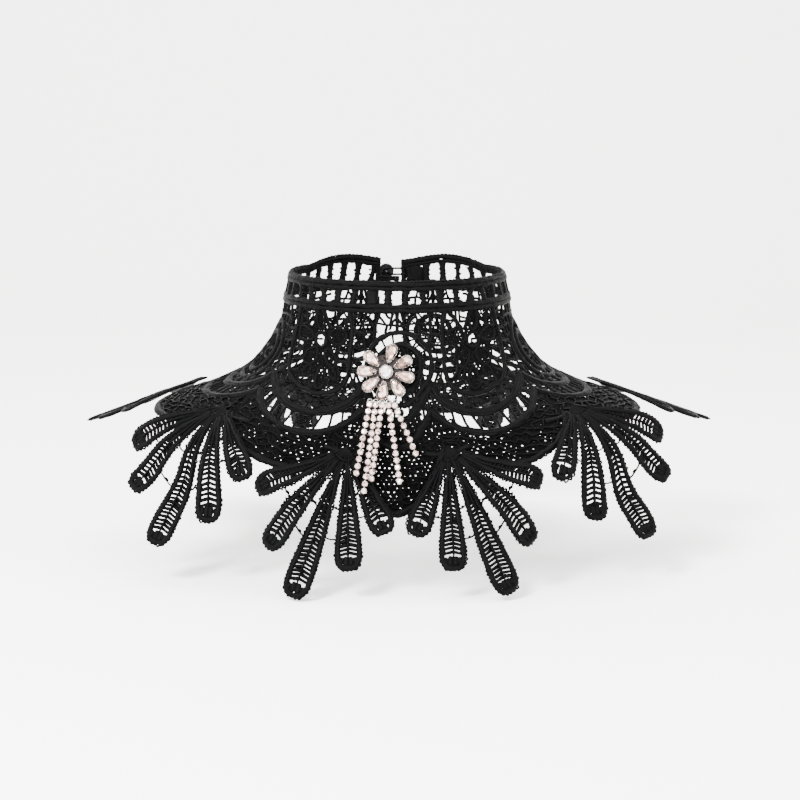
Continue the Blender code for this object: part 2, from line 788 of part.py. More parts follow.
def fastening(thread, plastic):
    """Dome button at the left end of the band, and the loop of the right end."""
    azimuth = math.pi + math.asin(-BUTTON_ACROSS / NECK_HALF_WIDTH)
    loop_lift = WALL + CORD_RAISE + SEAM_GAP + LOOP_RADIUS
    button_lift = loop_lift + LOOP_RADIUS + SEAM_GAP
    frame = seat(azimuth, BUTTON_DOWN, button_lift)
    shank = -(button_lift - WALL - SEAM_GAP)
    rings = [
        circle(SHANK_RADIUS, shank, 12),
        circle(SHANK_RADIUS, 0, 12),
        circle(BUTTON_RADIUS * 0.94, 0, 12),
        circle(BUTTON_RADIUS, BUTTON_HEIGHT * 0.25, 12),
        circle(BUTTON_RADIUS * 0.8, BUTTON_HEIGHT * 0.72, 12),
        circle(BUTTON_RADIUS * 0.35, BUTTON_HEIGHT, 12),
    ]
    layered("button", rings, frame, plastic)
    bend = SHANK_RADIUS + SEAM_GAP + LOOP_RADIUS
    reach = 0.0115
    line = [(reach, bend)]
    line += [(bend * math.cos(turn), bend * math.sin(turn)) for turn in np.linspace(math.pi / 2, 3 * math.pi / 2, 7)]
    line.append((reach, -bend))
    level = loop_lift - button_lift
    rings = []
    for k, (x, y) in enumerate(line):
        before = Vector(line[max(k - 1, 0)])
        after = Vector(line[min(k + 1, len(line) - 1)])
        ahead = (after - before).normalized()
        side = Vector((-ahead.y, ahead.x))
        ring = []
        for n in range(6):
            turn = 2 * math.pi * n / 6
            flat_part = side * LOOP_RADIUS * math.cos(turn)
            ring.append((-(x + flat_part.x), y + flat_part.y, level + LOOP_RADIUS * math.sin(turn)))
        rings.append(ring)
    layered("loop", rings, frame, thread)


def main():
    clear_scene()
    thread = material("black rayon lace", BLACK_THREAD, 0.55)
    crystal = material("pink crystal", CRYSTAL_PINK, 0.08)
    silver = material("silver setting", SILVER, 0.2, 1.0)
    plastic = material("black dome button", BLACK_PLASTIC, 0.12)
    half_gap = SEAM_GAP / 2 / NECK_HALF_WIDTH
    left_end = -math.pi + BACK_LEFT_END / NECK_HALF_DEPTH
    right_end = math.pi - BACK_RIGHT_END / NECK_HALF_DEPTH
    stretches = (
        ("front", -SIDE_SEAM + half_gap, SIDE_SEAM - half_gap),
        ("back_left", left_end, -SIDE_SEAM - half_gap),
        ("back_right", SIDE_SEAM + half_gap, right_end),
    )
    for name, low, high in stretches:
        neckband(f"neckband_{name}", low, high, thread)
        yoke(f"yoke_{name}", low, high, thread)
    for fan in FANS:
        fan_wall(fan, thread)
    brooch(crystal, silver)
    chains(silver)
    fastening(thread, plastic)


main()
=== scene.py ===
import math

import bpy
import numpy as np
from mathutils import Matrix, Vector


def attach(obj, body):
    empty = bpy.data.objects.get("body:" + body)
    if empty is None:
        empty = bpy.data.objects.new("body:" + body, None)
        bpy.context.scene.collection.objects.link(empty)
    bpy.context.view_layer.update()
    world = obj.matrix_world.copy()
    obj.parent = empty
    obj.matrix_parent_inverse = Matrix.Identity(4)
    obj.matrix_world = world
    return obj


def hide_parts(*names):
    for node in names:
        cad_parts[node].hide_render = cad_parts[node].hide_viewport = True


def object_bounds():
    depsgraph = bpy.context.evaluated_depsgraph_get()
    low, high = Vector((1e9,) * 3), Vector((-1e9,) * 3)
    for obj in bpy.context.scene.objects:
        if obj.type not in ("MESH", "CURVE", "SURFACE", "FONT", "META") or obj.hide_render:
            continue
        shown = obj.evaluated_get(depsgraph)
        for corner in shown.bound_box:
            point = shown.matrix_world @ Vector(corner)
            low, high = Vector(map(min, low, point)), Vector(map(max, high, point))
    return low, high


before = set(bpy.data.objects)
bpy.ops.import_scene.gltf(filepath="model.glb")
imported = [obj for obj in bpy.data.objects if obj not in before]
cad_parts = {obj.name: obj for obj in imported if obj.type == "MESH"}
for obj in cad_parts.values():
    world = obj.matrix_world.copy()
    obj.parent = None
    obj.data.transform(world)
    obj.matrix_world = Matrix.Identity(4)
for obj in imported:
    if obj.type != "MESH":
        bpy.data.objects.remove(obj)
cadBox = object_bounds()
print("frame loaded")

rng = np.random.default_rng(41)      # one seed, so that every run gives the same stitches

# the cloth that every thread is laid on, in metres
neck = {
    "halfWidth": 0.0515,
    "height": 0.044,
    "wall": 0.0016,           # thickness of the lace
    "cordRaise": 0.0006,      # how far the cords stand proud of it
    "profileStep": 0.0005,
    "profileEnd": 0.185,
}
# distance down the cloth, and its slope in degrees at the front, side and back
slopes = (
    (0.000, 84, 74, 86), (0.008, 84, 78, 86), (0.017, 84, 83, 82), (0.027, 80, 68, 74),
    (0.038, 76, 56, 66), (0.050, 72, 46, 60), (0.060, 70, 28, 57), (0.070, 69, 21, 55),
    (0.082, 68, 19, 54), (0.094, 67, 18, 52), (0.110, 66, 22, 50), (0.135, 65, 25, 48),
    (0.185, 64, 26, 46),
)


def profileRuns():
    down = np.arange(0, neck["profileEnd"] + neck["profileStep"], neck["profileStep"])
    runs = []
    for column in (1, 2, 3):
        slope = np.radians(np.interp(down, [row[0] for row in slopes], [row[column] for row in slopes]))
        middle = (slope[1:] + slope[:-1]) / 2
        out = np.concatenate(([0], np.cumsum(np.cos(middle)) * neck["profileStep"]))
        drop = np.concatenate(([0], np.cumsum(np.sin(middle)) * neck["profileStep"]))
        runs.append((out, drop))
    return down, runs


profileDown, profiles = profileRuns()


def runAlong(side, down):
    out, drop = profiles[side]
    above = np.minimum(down, 0)          # above the top edge the cloth goes straight up
    return np.interp(down, profileDown, out), np.interp(down, profileDown, drop) + above


def insideFace(azimuth, down):
    azimuth = np.asarray(azimuth, float)
    down = np.asarray(down, float)
    cosine = np.cos(azimuth)
    share = cosine ** 2
    frontOut, frontDrop = runAlong(0, down)
    sideOut, sideDrop = runAlong(1, down)
    backOut, backDrop = runAlong(2, down)
    out = sideOut + (np.where(cosine > 0, frontOut, backOut) - sideOut) * share
    drop = sideDrop + (np.where(cosine > 0, frontDrop, backDrop) - sideDrop) * share
    reach = neck["halfWidth"] + out
    return np.stack([reach * np.sin(azimuth), -reach * cosine, neck["height"] - drop], axis=-1)


def outward(azimuth, down):
    along = insideFace(azimuth + 0.002, down) - insideFace(azimuth - 0.002, down)
    below = insideFace(azimuth, down + 0.0008) - insideFace(azimuth, down - 0.0008)
    normal = np.cross(below, along)
    return normal / np.linalg.norm(normal, axis=-1, keepdims=True)


def clothSurface(azimuth, down, lift):
    normal = outward(azimuth, down)
    return insideFace(azimuth, down) + normal * np.asarray(lift)[..., None], normal


def ringRadius(azimuth, down):
    point = insideFace(azimuth, down)
    return np.hypot(point[..., 0], point[..., 1])


# every cord, bar and net thread is a real tube laid on the cloth
def smoothLine(points, pitch, closed=False):
    # Catmull-Rom curve through points, stepped evenly at pitch
    points = np.asarray(points, float)
    if closed:
        ring = np.vstack([points[-1], points, points[0], points[1]])
    else:
        ring = np.vstack([2 * points[0] - points[1], points, 2 * points[-1] - points[-2]])
    share = np.linspace(0, 1, 8, endpoint=False)[:, None]
    spans = []
    for k in range(len(ring) - 3):
        a, b, c, d = ring[k:k + 4]
        spans.append(0.5 * (2 * b + (c - a) * share + (2 * a - 5 * b + 4 * c - d) * share ** 2
                            + (3 * b - a - 3 * c + d) * share ** 3))
    fine = np.vstack(spans + [ring[-2][None]])
    run = np.concatenate(([0], np.cumsum(np.linalg.norm(np.diff(fine, axis=0), axis=1))))
    count = max(3, int(round(run[-1] / pitch)) + 1)
    stops = np.linspace(0, run[-1], count)
    line = np.stack([np.interp(stops, run, fine[:, k]) for k in range(fine.shape[1])], axis=1)
    return line[:-1] if closed else line


class LaceWork:
    # one flat layout: its fine threads, the cords raised over them, and its pinholed ground
    def __init__(self):
        self.fine, self.cords, self.ground = [], [], []


def stitchNoise(count, every):
    # smooth uneven values along a thread, one new value at every few steps
    stops = np.arange(0, count + every, every)
    return np.interp(np.arange(count), stops, rng.standard_normal(len(stops)))


def addThread(work, line, width, height, lift, closed=False, sides=6, knobble=0.0, taper=True, raised=False):
    # line is laid out in the work's own flat metres; knobble swells the cord as its stitches do
    line = np.asarray(line, float)
    count = len(line)
    width = np.full(count, width) if np.isscalar(width) else np.asarray(width, float).copy()
    height = np.full(count, height) if np.isscalar(height) else np.asarray(height, float).copy()
    lift = np.full(count, lift) if np.isscalar(lift) else np.asarray(lift, float).copy()
    if knobble:
        swell = np.clip(1 + knobble * (stitchNoise(count, 2) + 0.8 * stitchNoise(count, 5)), 0.6, 1.5)
        width *= swell
        height *= 0.6 + 0.4 * swell
        if count > 4:
            ahead = np.gradient(line, axis=0)
            ahead /= np.linalg.norm(ahead, axis=1, keepdims=True) + 1e-12
            sway = knobble * 0.0013 * stitchNoise(count, 3)
            line = line + np.column_stack([-ahead[:, 1], ahead[:, 0]]) * sway[:, None]
    if taper and not closed:
        width[[0, -1]] *= 0.6
        height[[0, -1]] *= 0.6
    (work.cords if raised else work.fine).append((line, width, height, lift, closed, sides))


def layCells(region, pitch, jitter, turn):
    # corners of an uneven honeycomb that covers region, row by row
    region = np.asarray(region, float)
    centre = region.mean(axis=0)
    cosine, sine = math.cos(turn), math.sin(turn)
    spin = np.array([[cosine, sine], [-sine, cosine]])
    local = (region - centre) @ spin.T
    low, high = local.min(axis=0) - pitch, local.max(axis=0) + pitch
    edge = pitch / math.sqrt(3)
    columns = int((high[0] - low[0]) / (pitch / 2)) + 2
    rowCount = int((high[1] - low[1]) / (1.5 * edge)) + 2
    k, r = np.meshgrid(np.arange(columns), np.arange(rowCount))
    lowered = (k + r) % 2 == 0
    x = low[0] + k * pitch / 2 + rng.normal(0, jitter * pitch * 0.5, k.shape)
    y = low[1] + r * 1.5 * edge + np.where(lowered, edge / 4, -edge / 4)
    y = y + rng.normal(0, jitter * pitch * 0.5, k.shape)
    return np.stack([x, y], axis=-1) @ spin + centre, lowered, region


# closely worked ground, in metres
groundLook = {"top": 0.0013, "rim": 0.0009, "under": 0.0003, "lump": 0.00022, "unevenHole": 0.80}


def addGround(work, region, pitch, hole, jitter=0.10, turn=0.0, openings=()):
    # a honeycomb whose cells are worked shut but for a pinhole of radius hole, left out at the openings
    points, lowered, region = layCells(region, pitch, jitter, turn)
    columns = lowered.shape[1]
    r, k = np.nonzero(lowered[:-1, :-2])
    first = r * columns + k
    ids = np.stack([first, first + 1, first + 2, first + columns + 2, first + columns + 1, first + columns], axis=1)
    lattice = points.reshape(-1, 2)
    middle = lattice[ids].mean(axis=1)
    kept = insideRing(middle, region)
    for opening in openings:
        kept &= ~insideRing(middle, opening)
    ids = ids[kept]
    if not len(ids):
        return
    corners = lattice[ids]
    middle = corners.mean(axis=1, keepdims=True)
    aim = corners - middle
    aim /= np.linalg.norm(aim, axis=2, keepdims=True)
    reach = hole * np.clip(1 + groundLook["unevenHole"] * rng.standard_normal((len(ids), 1, 1)), 0.12, 2.2)
    reach = reach * rng.uniform(0.8, 1.2, (len(ids), 6, 1))
    lift = groundLook["top"] + groundLook["lump"] * rng.standard_normal(len(lattice))
    work.ground.append((lattice, lift, ids, middle + aim * reach))


def groundFaces(lattice, lift, ids, holes, base):
    # points with their lifts, and the quads of both faces, the pinholes' walls and the outer edge
    used, inverse = np.unique(ids, return_inverse=True)
    inverse = inverse.reshape(ids.shape)
    rim = holes.reshape(-1, 2)
    look = groundLook
    flat = np.vstack([lattice[used], lattice[used], rim, rim])
    lifts = np.concatenate([lift[used], np.full(len(used), look["under"]), np.full(len(rim), look["rim"]),
                            np.full(len(rim), look["under"] + 0.0001)])
    top, under = base + inverse, base + inverse + len(used)
    holeTop = base + 2 * len(used) + np.arange(len(rim)).reshape(-1, 6)
    holeUnder = holeTop + len(rim)

    def pair(corner):
        return corner, np.roll(corner, -1, axis=1)

    (a, b), (a2, b2) = pair(top), pair(under)
    (d, c), (d2, c2) = pair(holeTop), pair(holeUnder)
    quads = [np.stack(q, axis=-1).reshape(-1, 4) for q in ((b, a, d, c), (a2, b2, c2, d2), (c, d, d2, c2))]
    sides = np.sort(np.stack(pair(inverse), axis=-1).reshape(-1, 2), axis=1)
    _, where, counts = np.unique(sides, axis=0, return_inverse=True, return_counts=True)
    outer = counts[where.ravel()] == 1
    quads.append(np.stack((a, b, b2, a2), axis=-1).reshape(-1, 4)[outer])
    return flat, lifts, np.vstack(quads)


def threadFaces(p, up, width, height, closed, sides, base):
    # rings of points about a thread's line, its quads and their places along the thread
    count = len(p)
    ahead = np.roll(p, -1, 0) - np.roll(p, 1, 0) if closed else np.gradient(p, axis=0)
    ahead /= np.linalg.norm(ahead, axis=1, keepdims=True) + 1e-12
    side = np.cross(ahead, up)
    side /= np.linalg.norm(side, axis=1, keepdims=True) + 1e-12
    up = np.cross(side, ahead)
    turn = (np.arange(sides) + 0.5) / sides * 2 * math.pi
    ring = (p[:, None] + side[:, None] * (width[:, None] / 2 * np.cos(turn))[..., None]
            + up[:, None] * (height[:, None] / 2 * np.sin(turn))[..., None])
    steps = np.arange(count if closed else count - 1)
    after = (steps + 1) % count
    k = np.arange(sides)
    here, there = base + steps[:, None] * sides, base + after[:, None] * sides
    quads = np.stack([here + k, here + (k + 1) % sides, there + (k + 1) % sides, there + k], axis=-1)
    run = np.concatenate(([0], np.cumsum(np.linalg.norm(np.diff(p, axis=0), axis=1))))
    run = np.append(run, run[-1] + np.linalg.norm(p[0] - p[-1])) + rng.uniform(0, 0.01)
    girth = (width.mean() + height.mean()) * 0.78 * np.arange(sides + 1) / sides
    u0, u1 = np.repeat(run[steps], sides), np.repeat(run[steps + 1], sides)
    v0, v1 = np.tile(girth[:-1], len(steps)), np.tile(girth[1:], len(steps))
    uv = np.stack([u0, v0, u0, v1, u1, v1, u1, v0], axis=1).reshape(-1, 2)
    return ring.reshape(-1, 3), quads.reshape(-1, 4), uv


def weaveMesh(name, works, surface, material):
    # works is a list of (threads, ground, toFlat): toFlat takes a work's flat metres to the surface's own
    vertices, loops, totals, uvs = [], [], [], []
    base = 0
    lines = [np.column_stack([toFlat(thread[0]), thread[3]]) for threads, _, toFlat in works for thread in threads]
    every = np.vstack(lines)
    places, normals = surface(every[:, 0], every[:, 1], every[:, 2])
    first = 0
    for threads, _, _ in works:
        for line, width, height, _, closed, sides in threads:
            part = slice(first, first + len(line))
            first += len(line)
            points, quads, uv = threadFaces(places[part], normals[part], width, height, closed, sides, base)
            vertices.append(points)
            loops.append(quads.ravel())
            totals.append(np.full(len(quads), 4))
            uvs.append(uv)
            if not closed:
                k = np.arange(sides)
                for cap in (base + k[::-1], base + (len(line) - 1) * sides + k):
                    loops.append(cap)
                    totals.append(np.array([sides]))
                    uvs.append(np.zeros((sides, 2)))
            base += len(points)
    for _, ground, toFlat in works:
        for lattice, lift, ids, holes in ground:
            flat, lifts, quads = groundFaces(lattice, lift, ids, holes, base)
            laid = toFlat(flat)
            points, _ = surface(laid[:, 0], laid[:, 1], lifts)
            vertices.append(points)
            loops.append(quads.ravel())
            totals.append(np.full(len(quads), 4))
            uvs.append(flat[quads.ravel() - base])
            base += len(points)
    return meshPiece(name, np.vstack(vertices), np.concatenate(loops), np.concatenate(totals),
                     np.vstack(uvs), material)


def meshPiece(name, vertices, loops, totals, uvs, material, smooth=True):
    mesh = bpy.data.meshes.new(name)
    mesh.vertices.add(len(vertices))
    mesh.vertices.foreach_set("co", vertices.astype(np.float32).ravel())
    mesh.loops.add(len(loops))
    mesh.loops.foreach_set("vertex_index", loops.astype(np.int32))
    mesh.polygons.add(len(totals))
    starts = np.concatenate(([0], np.cumsum(totals)[:-1]))
    mesh.polygons.foreach_set("loop_start", starts.astype(np.int32))
    mesh.polygons.foreach_set("loop_total", totals.astype(np.int32))
    mesh.polygons.foreach_set("use_smooth", np.full(len(totals), smooth))
    layer = mesh.uv_layers.new(name="threadRun")
    layer.data.foreach_set("uv", uvs.astype(np.float32).ravel())
    mesh.update(calc_edges=True)
    mesh.validate()
    mesh.materials.append(material)
    piece = bpy.data.objects.new(name, mesh)
    bpy.context.scene.collection.objects.link(piece)
    triangles = int((totals - 2).sum())
    print(f"{name}: {triangles} triangles")
    return piece


def insideRing(points, ring):
    found = np.zeros(len(points), bool)
    x, y = points[:, 0], points[:, 1]
    previous = ring[-1]
    for corner in ring:
        if corner[1] != previous[1]:
            crosses = (corner[1] > y) != (previous[1] > y)
            found ^= crosses & (x < corner[0] + (y - corner[1]) / (previous[1] - corner[1]) * (previous[0] - corner[0]))
        previous = corner
    return found


def addNet(work, region, pitch, width, height, lift, jitter=0.16, turn=0.0, keep=1.0, sides=5):
    # an uneven honeycomb of threads inside region, with knots where threads meet
    points, lowered, region = layCells(region, pitch, jitter, turn)
    rowCount, columns = lowered.shape
    within = insideRing(points.reshape(-1, 2), region).reshape(lowered.shape)
    for row in range(rowCount):
        run = []
        for column in range(columns + 1):
            if column < columns and within[row, column]:
                run.append(points[row, column])
                continue
            if len(run) > 1:
                sway = width * (1 + 0.16 * rng.standard_normal(len(run)))
                addThread(work, run, sway, height, lift, sides=sides)
            run = []
        if row + 1 < rowCount:
            for column in range(columns):
                if lowered[row, column] and within[row, column] and within[row + 1, column]:
                    if rng.random() < keep:
                        sway = width * rng.uniform(0.85, 1.2)
                        addThread(work, [points[row, column], points[row + 1, column]], sway, height, lift,
                                  sides=sides, taper=False)


def addKnot(work, centre, radius, height, lift, stretch=1.0, turn=0.0, sides=10):
    # a small round of stitches, worked as a short fat thread
    steps = np.array([-0.98, -0.8, -0.4, 0.0, 0.4, 0.8, 0.98])
    ahead = np.array([math.cos(turn), math.sin(turn)]) * radius * stretch
    line = np.asarray(centre) + steps[:, None] * ahead
    profile = np.sqrt(1 - steps ** 2)
    addThread(work, line, 2 * radius * profile, height * profile, lift, sides=sides, taper=False)


def sawEdge(line, offset, depth, pitch, closed=False):
    # a line beside another that swings out and in, for the picots of an edge
    line = np.asarray(line, float)
    ahead = np.roll(line, -1, 0) - np.roll(line, 1, 0) if closed else np.gradient(line, axis=0)
    ahead /= np.linalg.norm(ahead, axis=1, keepdims=True)
    beside = np.stack([-ahead[:, 1], ahead[:, 0]], axis=1)
    run = np.concatenate(([0], np.cumsum(np.linalg.norm(np.diff(line, axis=0), axis=1))))
    swing = np.abs(np.mod(run / pitch, 1) * 2 - 1)
    reach = rng.uniform(0.5, 1.6, int(run[-1] / pitch) + 2)[(run / pitch + 0.5).astype(int)]
    return line + beside * (offset + depth * swing * reach)[:, None]


def addNode(tree, kind, settings=None, links=None):
    # settings are the node's own properties or socket values; links are socket: (node, output)
    node = tree.nodes.new(kind)
    for key, value in (settings or {}).items():
        if isinstance(key, str) and hasattr(node, key):
            setattr(node, key, value)
        else:
            node.inputs[key].default_value = value
    for key, (source, output) in (links or {}).items():
        tree.links.new(source.outputs[output], node.inputs[key])
    return node


def linearColour(hexText):
    values = [int(hexText[k:k + 2], 16) / 255 for k in (1, 3, 5)]
    return tuple(v / 12.92 if v <= 0.04045 else ((v + 0.055) / 1.055) ** 2.4 for v in values) + (1,)


def newMaterial(name, settings):
    material = bpy.data.materials.new(name)
    material.use_nodes = True
    tree = material.node_tree
    shader = tree.nodes["Principled BSDF"]
    for key, value in settings.items():
        shader.inputs[key].default_value = value
    return material, tree, shader


# Rayon embroidery thread, laid in tight satin stitch: filament gives a soft shine along the
# cords, each stitch shows as a fine slanted ridge, and the ridges are painted a shade lighter as a painted highlight,
# varied by a random tone.
rayonLook = {
    "deepColour": "#010101",
    "paintedRidgeHighlightColour": "#030304",
    "stitchPitchMm": 0.55,     # real stitches are 0.35 mm apart, drawn coarser so that they show
    "toneMm": 6.0,
    "roughness": 0.55,
}


def rayonThreadMaterial():
    material, tree, shader = newMaterial("rayonSatinStitch", {
        "Roughness": rayonLook["roughness"],
        "IOR": 1.5,
        "Specular IOR Level": 0.035,
        "Sheen Weight": 0.0,
        "Sheen Roughness": 0.35,
        "Sheen Tint": linearColour("#6a6a74"),
    })
    run = addNode(tree, "ShaderNodeTexCoord")
    perMetre = 0.314 / (rayonLook["stitchPitchMm"] / 1000)    # a band wave repeats every 0.314 units
    slant = addNode(tree, "ShaderNodeMapping", {"Rotation": (0, 0, math.radians(24))}, {"Vector": (run, "UV")})
    stitches = addNode(tree, "ShaderNodeTexWave", {
        "wave_type": "BANDS", "bands_direction": "X", "wave_profile": "SIN",
        "Scale": perMetre, "Distortion": 1.2, "Detail": 1.0, "Detail Scale": 2.0,
    }, {"Vector": (slant, "Vector")})
    tone = addNode(tree, "ShaderNodeTexNoise", {
        "Scale": 1000 / rayonLook["toneMm"], "Detail": 3.0, "Roughness": 0.6,
    }, {"Vector": (run, "Object")})
    shade = addNode(tree, "ShaderNodeMath", {"operation": "MULTIPLY"}, {0: (stitches, "Fac"), 1: (tone, "Fac")})
    # painted highlight: the stitch ridges are painted a shade lighter than the deep black, times a random tone
    colour = addNode(tree, "ShaderNodeValToRGB", None, {"Fac": (shade, "Value")})
    colour.color_ramp.elements[0].color = linearColour(rayonLook["deepColour"])
    colour.color_ramp.elements[1].position = 0.8
    colour.color_ramp.elements[1].color = linearColour(rayonLook["paintedRidgeHighlightColour"])
    ridge = addNode(tree, "ShaderNodeBump", {"Strength": 0.7, "Distance": 0.00012}, {"Height": (stitches, "Fac")})
    tree.links.new(colour.outputs["Color"], shader.inputs["Base Color"])
    tree.links.new(ridge.outputs["Normal"], shader.inputs["Normal"])
    return material


rayon = rayonThreadMaterial()

# where each arched repeat of the yoke sits, and how it is pulled towards the front
halfRepeat = math.radians(20)
fanRootDown = 0.0820
yokeLook = {
    "top": 0.0128,
    "innerArch": (0.0562, 0.0190),     # depth at the middle, rise to the ends
    "secondArch": (0.0668, 0.0165),
    "outerArch": (0.0790, 0.0175),
    "cordWidth": 0.0024,
    "cordHeight": 0.0021,
    "cordLift": 0.0011,
    "netPitch": 0.0022,
    "netHole": 0.00021,       # radius of the pinholes in the crescents
    "looserPitch": 0.0025,    # more open ground away from the front
    "looserHole": 0.00072,
    "petalPitch": 0.0019,
    "petalHole": 0.00028,
    "rungs": 12,
    "crescentDrop": 0.0190,
    "sideDrop": 0.0235,
    "centreDrop": 0.0300,
}


def drawToFront(azimuth, down):
    # the repeats beside the brooch spread towards it under their medallions
    share = np.abs(azimuth)
    first = np.interp(down, (0.015, 0.035, 0.046, 0.054, 0.070, 0.082, 0.100), (20.5, 20.0, 17.5, 14.0, 14.0, 17.5, 19.5))
    middle = np.interp(down, (0.015, 0.029, 0.048, 0.058, 0.068, 0.080, 0.104), (42.0, 39.0, 34.5, 35.0, 37.5, 38.5, 41.0))
    degrees = np.degrees(share)
    moved = np.where(degrees < 20, degrees / 20 * first,
                     np.where(degrees < 40, first + (degrees - 20) / 20 * (middle - first),
                              np.where(degrees < 60, middle + (degrees - 40) / 20 * (60 - middle), degrees)))
    return np.sign(azimuth) * np.radians(moved)


def repeatPlacer(middle):
    # turns a repeat's own metres, across and down, to azimuth and down
    halfWidth = halfRepeat * float(ringRadius(np.float64(middle), np.float64(0.060)))

    def place(line):
        azimuth = drawToFront(middle + line[:, 0] / halfWidth * halfRepeat, line[:, 1])
        return np.column_stack([azimuth, line[:, 1]])

    return halfWidth, place


def clipThreads(threads, place, low, high):
    # cuts threads off cleanly at both ends of a stretch
    kept = []
    for line, width, height, lift, closed, sides in threads:
        rows = np.column_stack([place(line), width, height, lift])
        within = (rows[:, 0] > low) & (rows[:, 0] < high)
        if within.all():
            kept.append((rows[:, :2], width, height, lift, closed, sides))
            continue
        if closed:
            order = np.roll(np.arange(len(rows)), -int(np.argmin(within)))
            rows, within = rows[order], within[order]

        def cut(outer, inner):
            bound = low if rows[outer, 0] <= low else high
            share = (bound - rows[outer, 0]) / (rows[inner, 0] - rows[outer, 0])
            return rows[outer] + (rows[inner] - rows[outer]) * share

        start = None
        for k in range(len(rows) + 1):
            if k < len(rows) and within[k]:
                start = k if start is None else start
            elif start is not None:
                part = list(rows[start:k])
                if start > 0:
                    part.insert(0, cut(start - 1, start))
                if k < len(rows):
                    part.append(cut(k, k - 1))
                if len(part) > 1:
                    part = np.array(part)
                    kept.append((part[:, :2], part[:, 2], part[:, 3], part[:, 4], False, sides))
                start = None
    return kept


def clipGround(ground, place, low, high):
    # a cell goes to the side that its middle is on, and is drawn in to the cut
    kept = []
    for lattice, lift, ids, holes in ground:
        placed = place(lattice)
        middle = placed[ids][:, :, 0].mean(axis=1)
        within = (middle > low) & (middle < high)
        if within.any():
            rims = place(holes.reshape(-1, 2)).reshape(holes.shape)[within]
            placed[:, 0] = np.clip(placed[:, 0], low, high)
            rims[..., 0] = np.clip(rims[..., 0], low, high)
            kept.append((placed, lift, ids[within], rims))
    return kept


def archLine(arch, halfWidth, low=-1.0, high=1.0, count=60, offset=0.0):
    reach = np.linspace(low, high, count)
    middle, rise = arch
    line = np.column_stack([reach * halfWidth, middle - rise * reach ** 2])
    if offset:
        ahead = np.gradient(line, axis=0)
        ahead /= np.linalg.norm(ahead, axis=1, keepdims=True)
        line = line + np.column_stack([-ahead[:, 1], ahead[:, 0]]) * offset
    return line


def crescentDown(reach, index):
    # lower edge of a repeat's net; reach is -1 to 1 across it
    reach = np.minimum(1, np.abs(reach))
    if index == 0:
        return fanRootDown + yokeLook["centreDrop"] * (1 - reach ** 1.6)
    drop = yokeLook["sideDrop"] if abs(index) == 2 else yokeLook["crescentDrop"]
    return fanRootDown + drop * (1 - reach ** 2.2) ** 0.8


def addCord(work, points, width, knobble=0.13, closed=False, height=None, lift=None, pitch=0.00085, sides=7):
    line = smoothLine(points, pitch, closed)
    addThread(work, line, width, height or min(yokeLook["cordHeight"], width * 0.9),
              lift or yokeLook["cordLift"], closed, sides, knobble, raised=True)


def teardrop(centre, turn, length, width):
    # a petal that points away from the middle of its flower
    ring = []
    for k in range(14):
        angle = 2 * math.pi * k / 14
        along = length / 2 * math.cos(angle)
        beside = width / 2 * math.sin(angle) * (1 + 0.22 * math.cos(angle))
        ring.append((centre[0] + along * math.sin(turn) + beside * math.cos(turn),
                     centre[1] - along * math.cos(turn) + beside * math.sin(turn)))
    return np.array(ring)


def addBride(work, start, end, width=0.0010, sag=0.0):
    # a thin bar of thread between two worked parts
    start, end = np.asarray(start, float), np.asarray(end, float)
    middle = (start + end) / 2 + np.array([0, sag])
    line = smoothLine([start, middle, end], 0.0011)
    swell = width * (1 + 0.5 * np.abs(np.linspace(-1, 1, len(line))) ** 4)
    addThread(work, line, swell, 0.0011, 0.0009, sides=5, knobble=0.06)


# openings of the flower medallion, as corners across and down in millimetres; each is worked on both sides
flowerOpenings = (
    ((4.2, 14.4), (12.0, 14.2), (20.2, 14.4), (20.8, 22.6), (16.8, 23.8), (11.6, 22.4), (6.8, 23.4), (4.8, 20.0)),
    ((12.8, 31.4), (20.4, 30.6), (20.6, 36.0), (19.4, 41.4), (17.4, 45.6), (13.8, 46.8), (11.2, 44.4), (10.4, 40.2), (12.2, 37.2)),
    ((3.6, 48.4), (6.2, 46.8), (10.2, 48.2), (11.6, 50.0), (9.0, 52.4), (3.4, 55.0)),
    ((9.2, 31.4), (11.2, 30.4), (11.6, 31.2), (9.8, 32.4)),
    ((2.6, 43.4), (4.2, 42.8), (4.6, 44.4), (3.2, 45.2)),
)
flowerBars = (
    # from and to, across and down, in millimetres
    ((12.8, 13.8), (11.4, 22.8)), ((12.0, 18.6), (20.8, 17.8)), ((12.0, 35.0), (20.8, 34.2)),
    ((10.8, 39.8), (20.0, 38.8)), ((17.0, 23.4), (17.6, 18.2)),
)


def openingRing(corners, side, wide):
    # the worked edge of an opening, a little uneven
    ring = np.array(corners) / 1000 * (side * wide, 1)
    return smoothLine(ring + rng.normal(0, 0.00022, ring.shape), 0.0010, closed=True)


def addOpenings(work, openings, wide):
    rings = [openingRing(corners, side, wide) for corners in openings for side in (-1, 1)]
    for ring in rings:
        addThread(work, ring, 0.0011, 0.0015, 0.0009, closed=True, sides=6, knobble=0.14)
    return rings


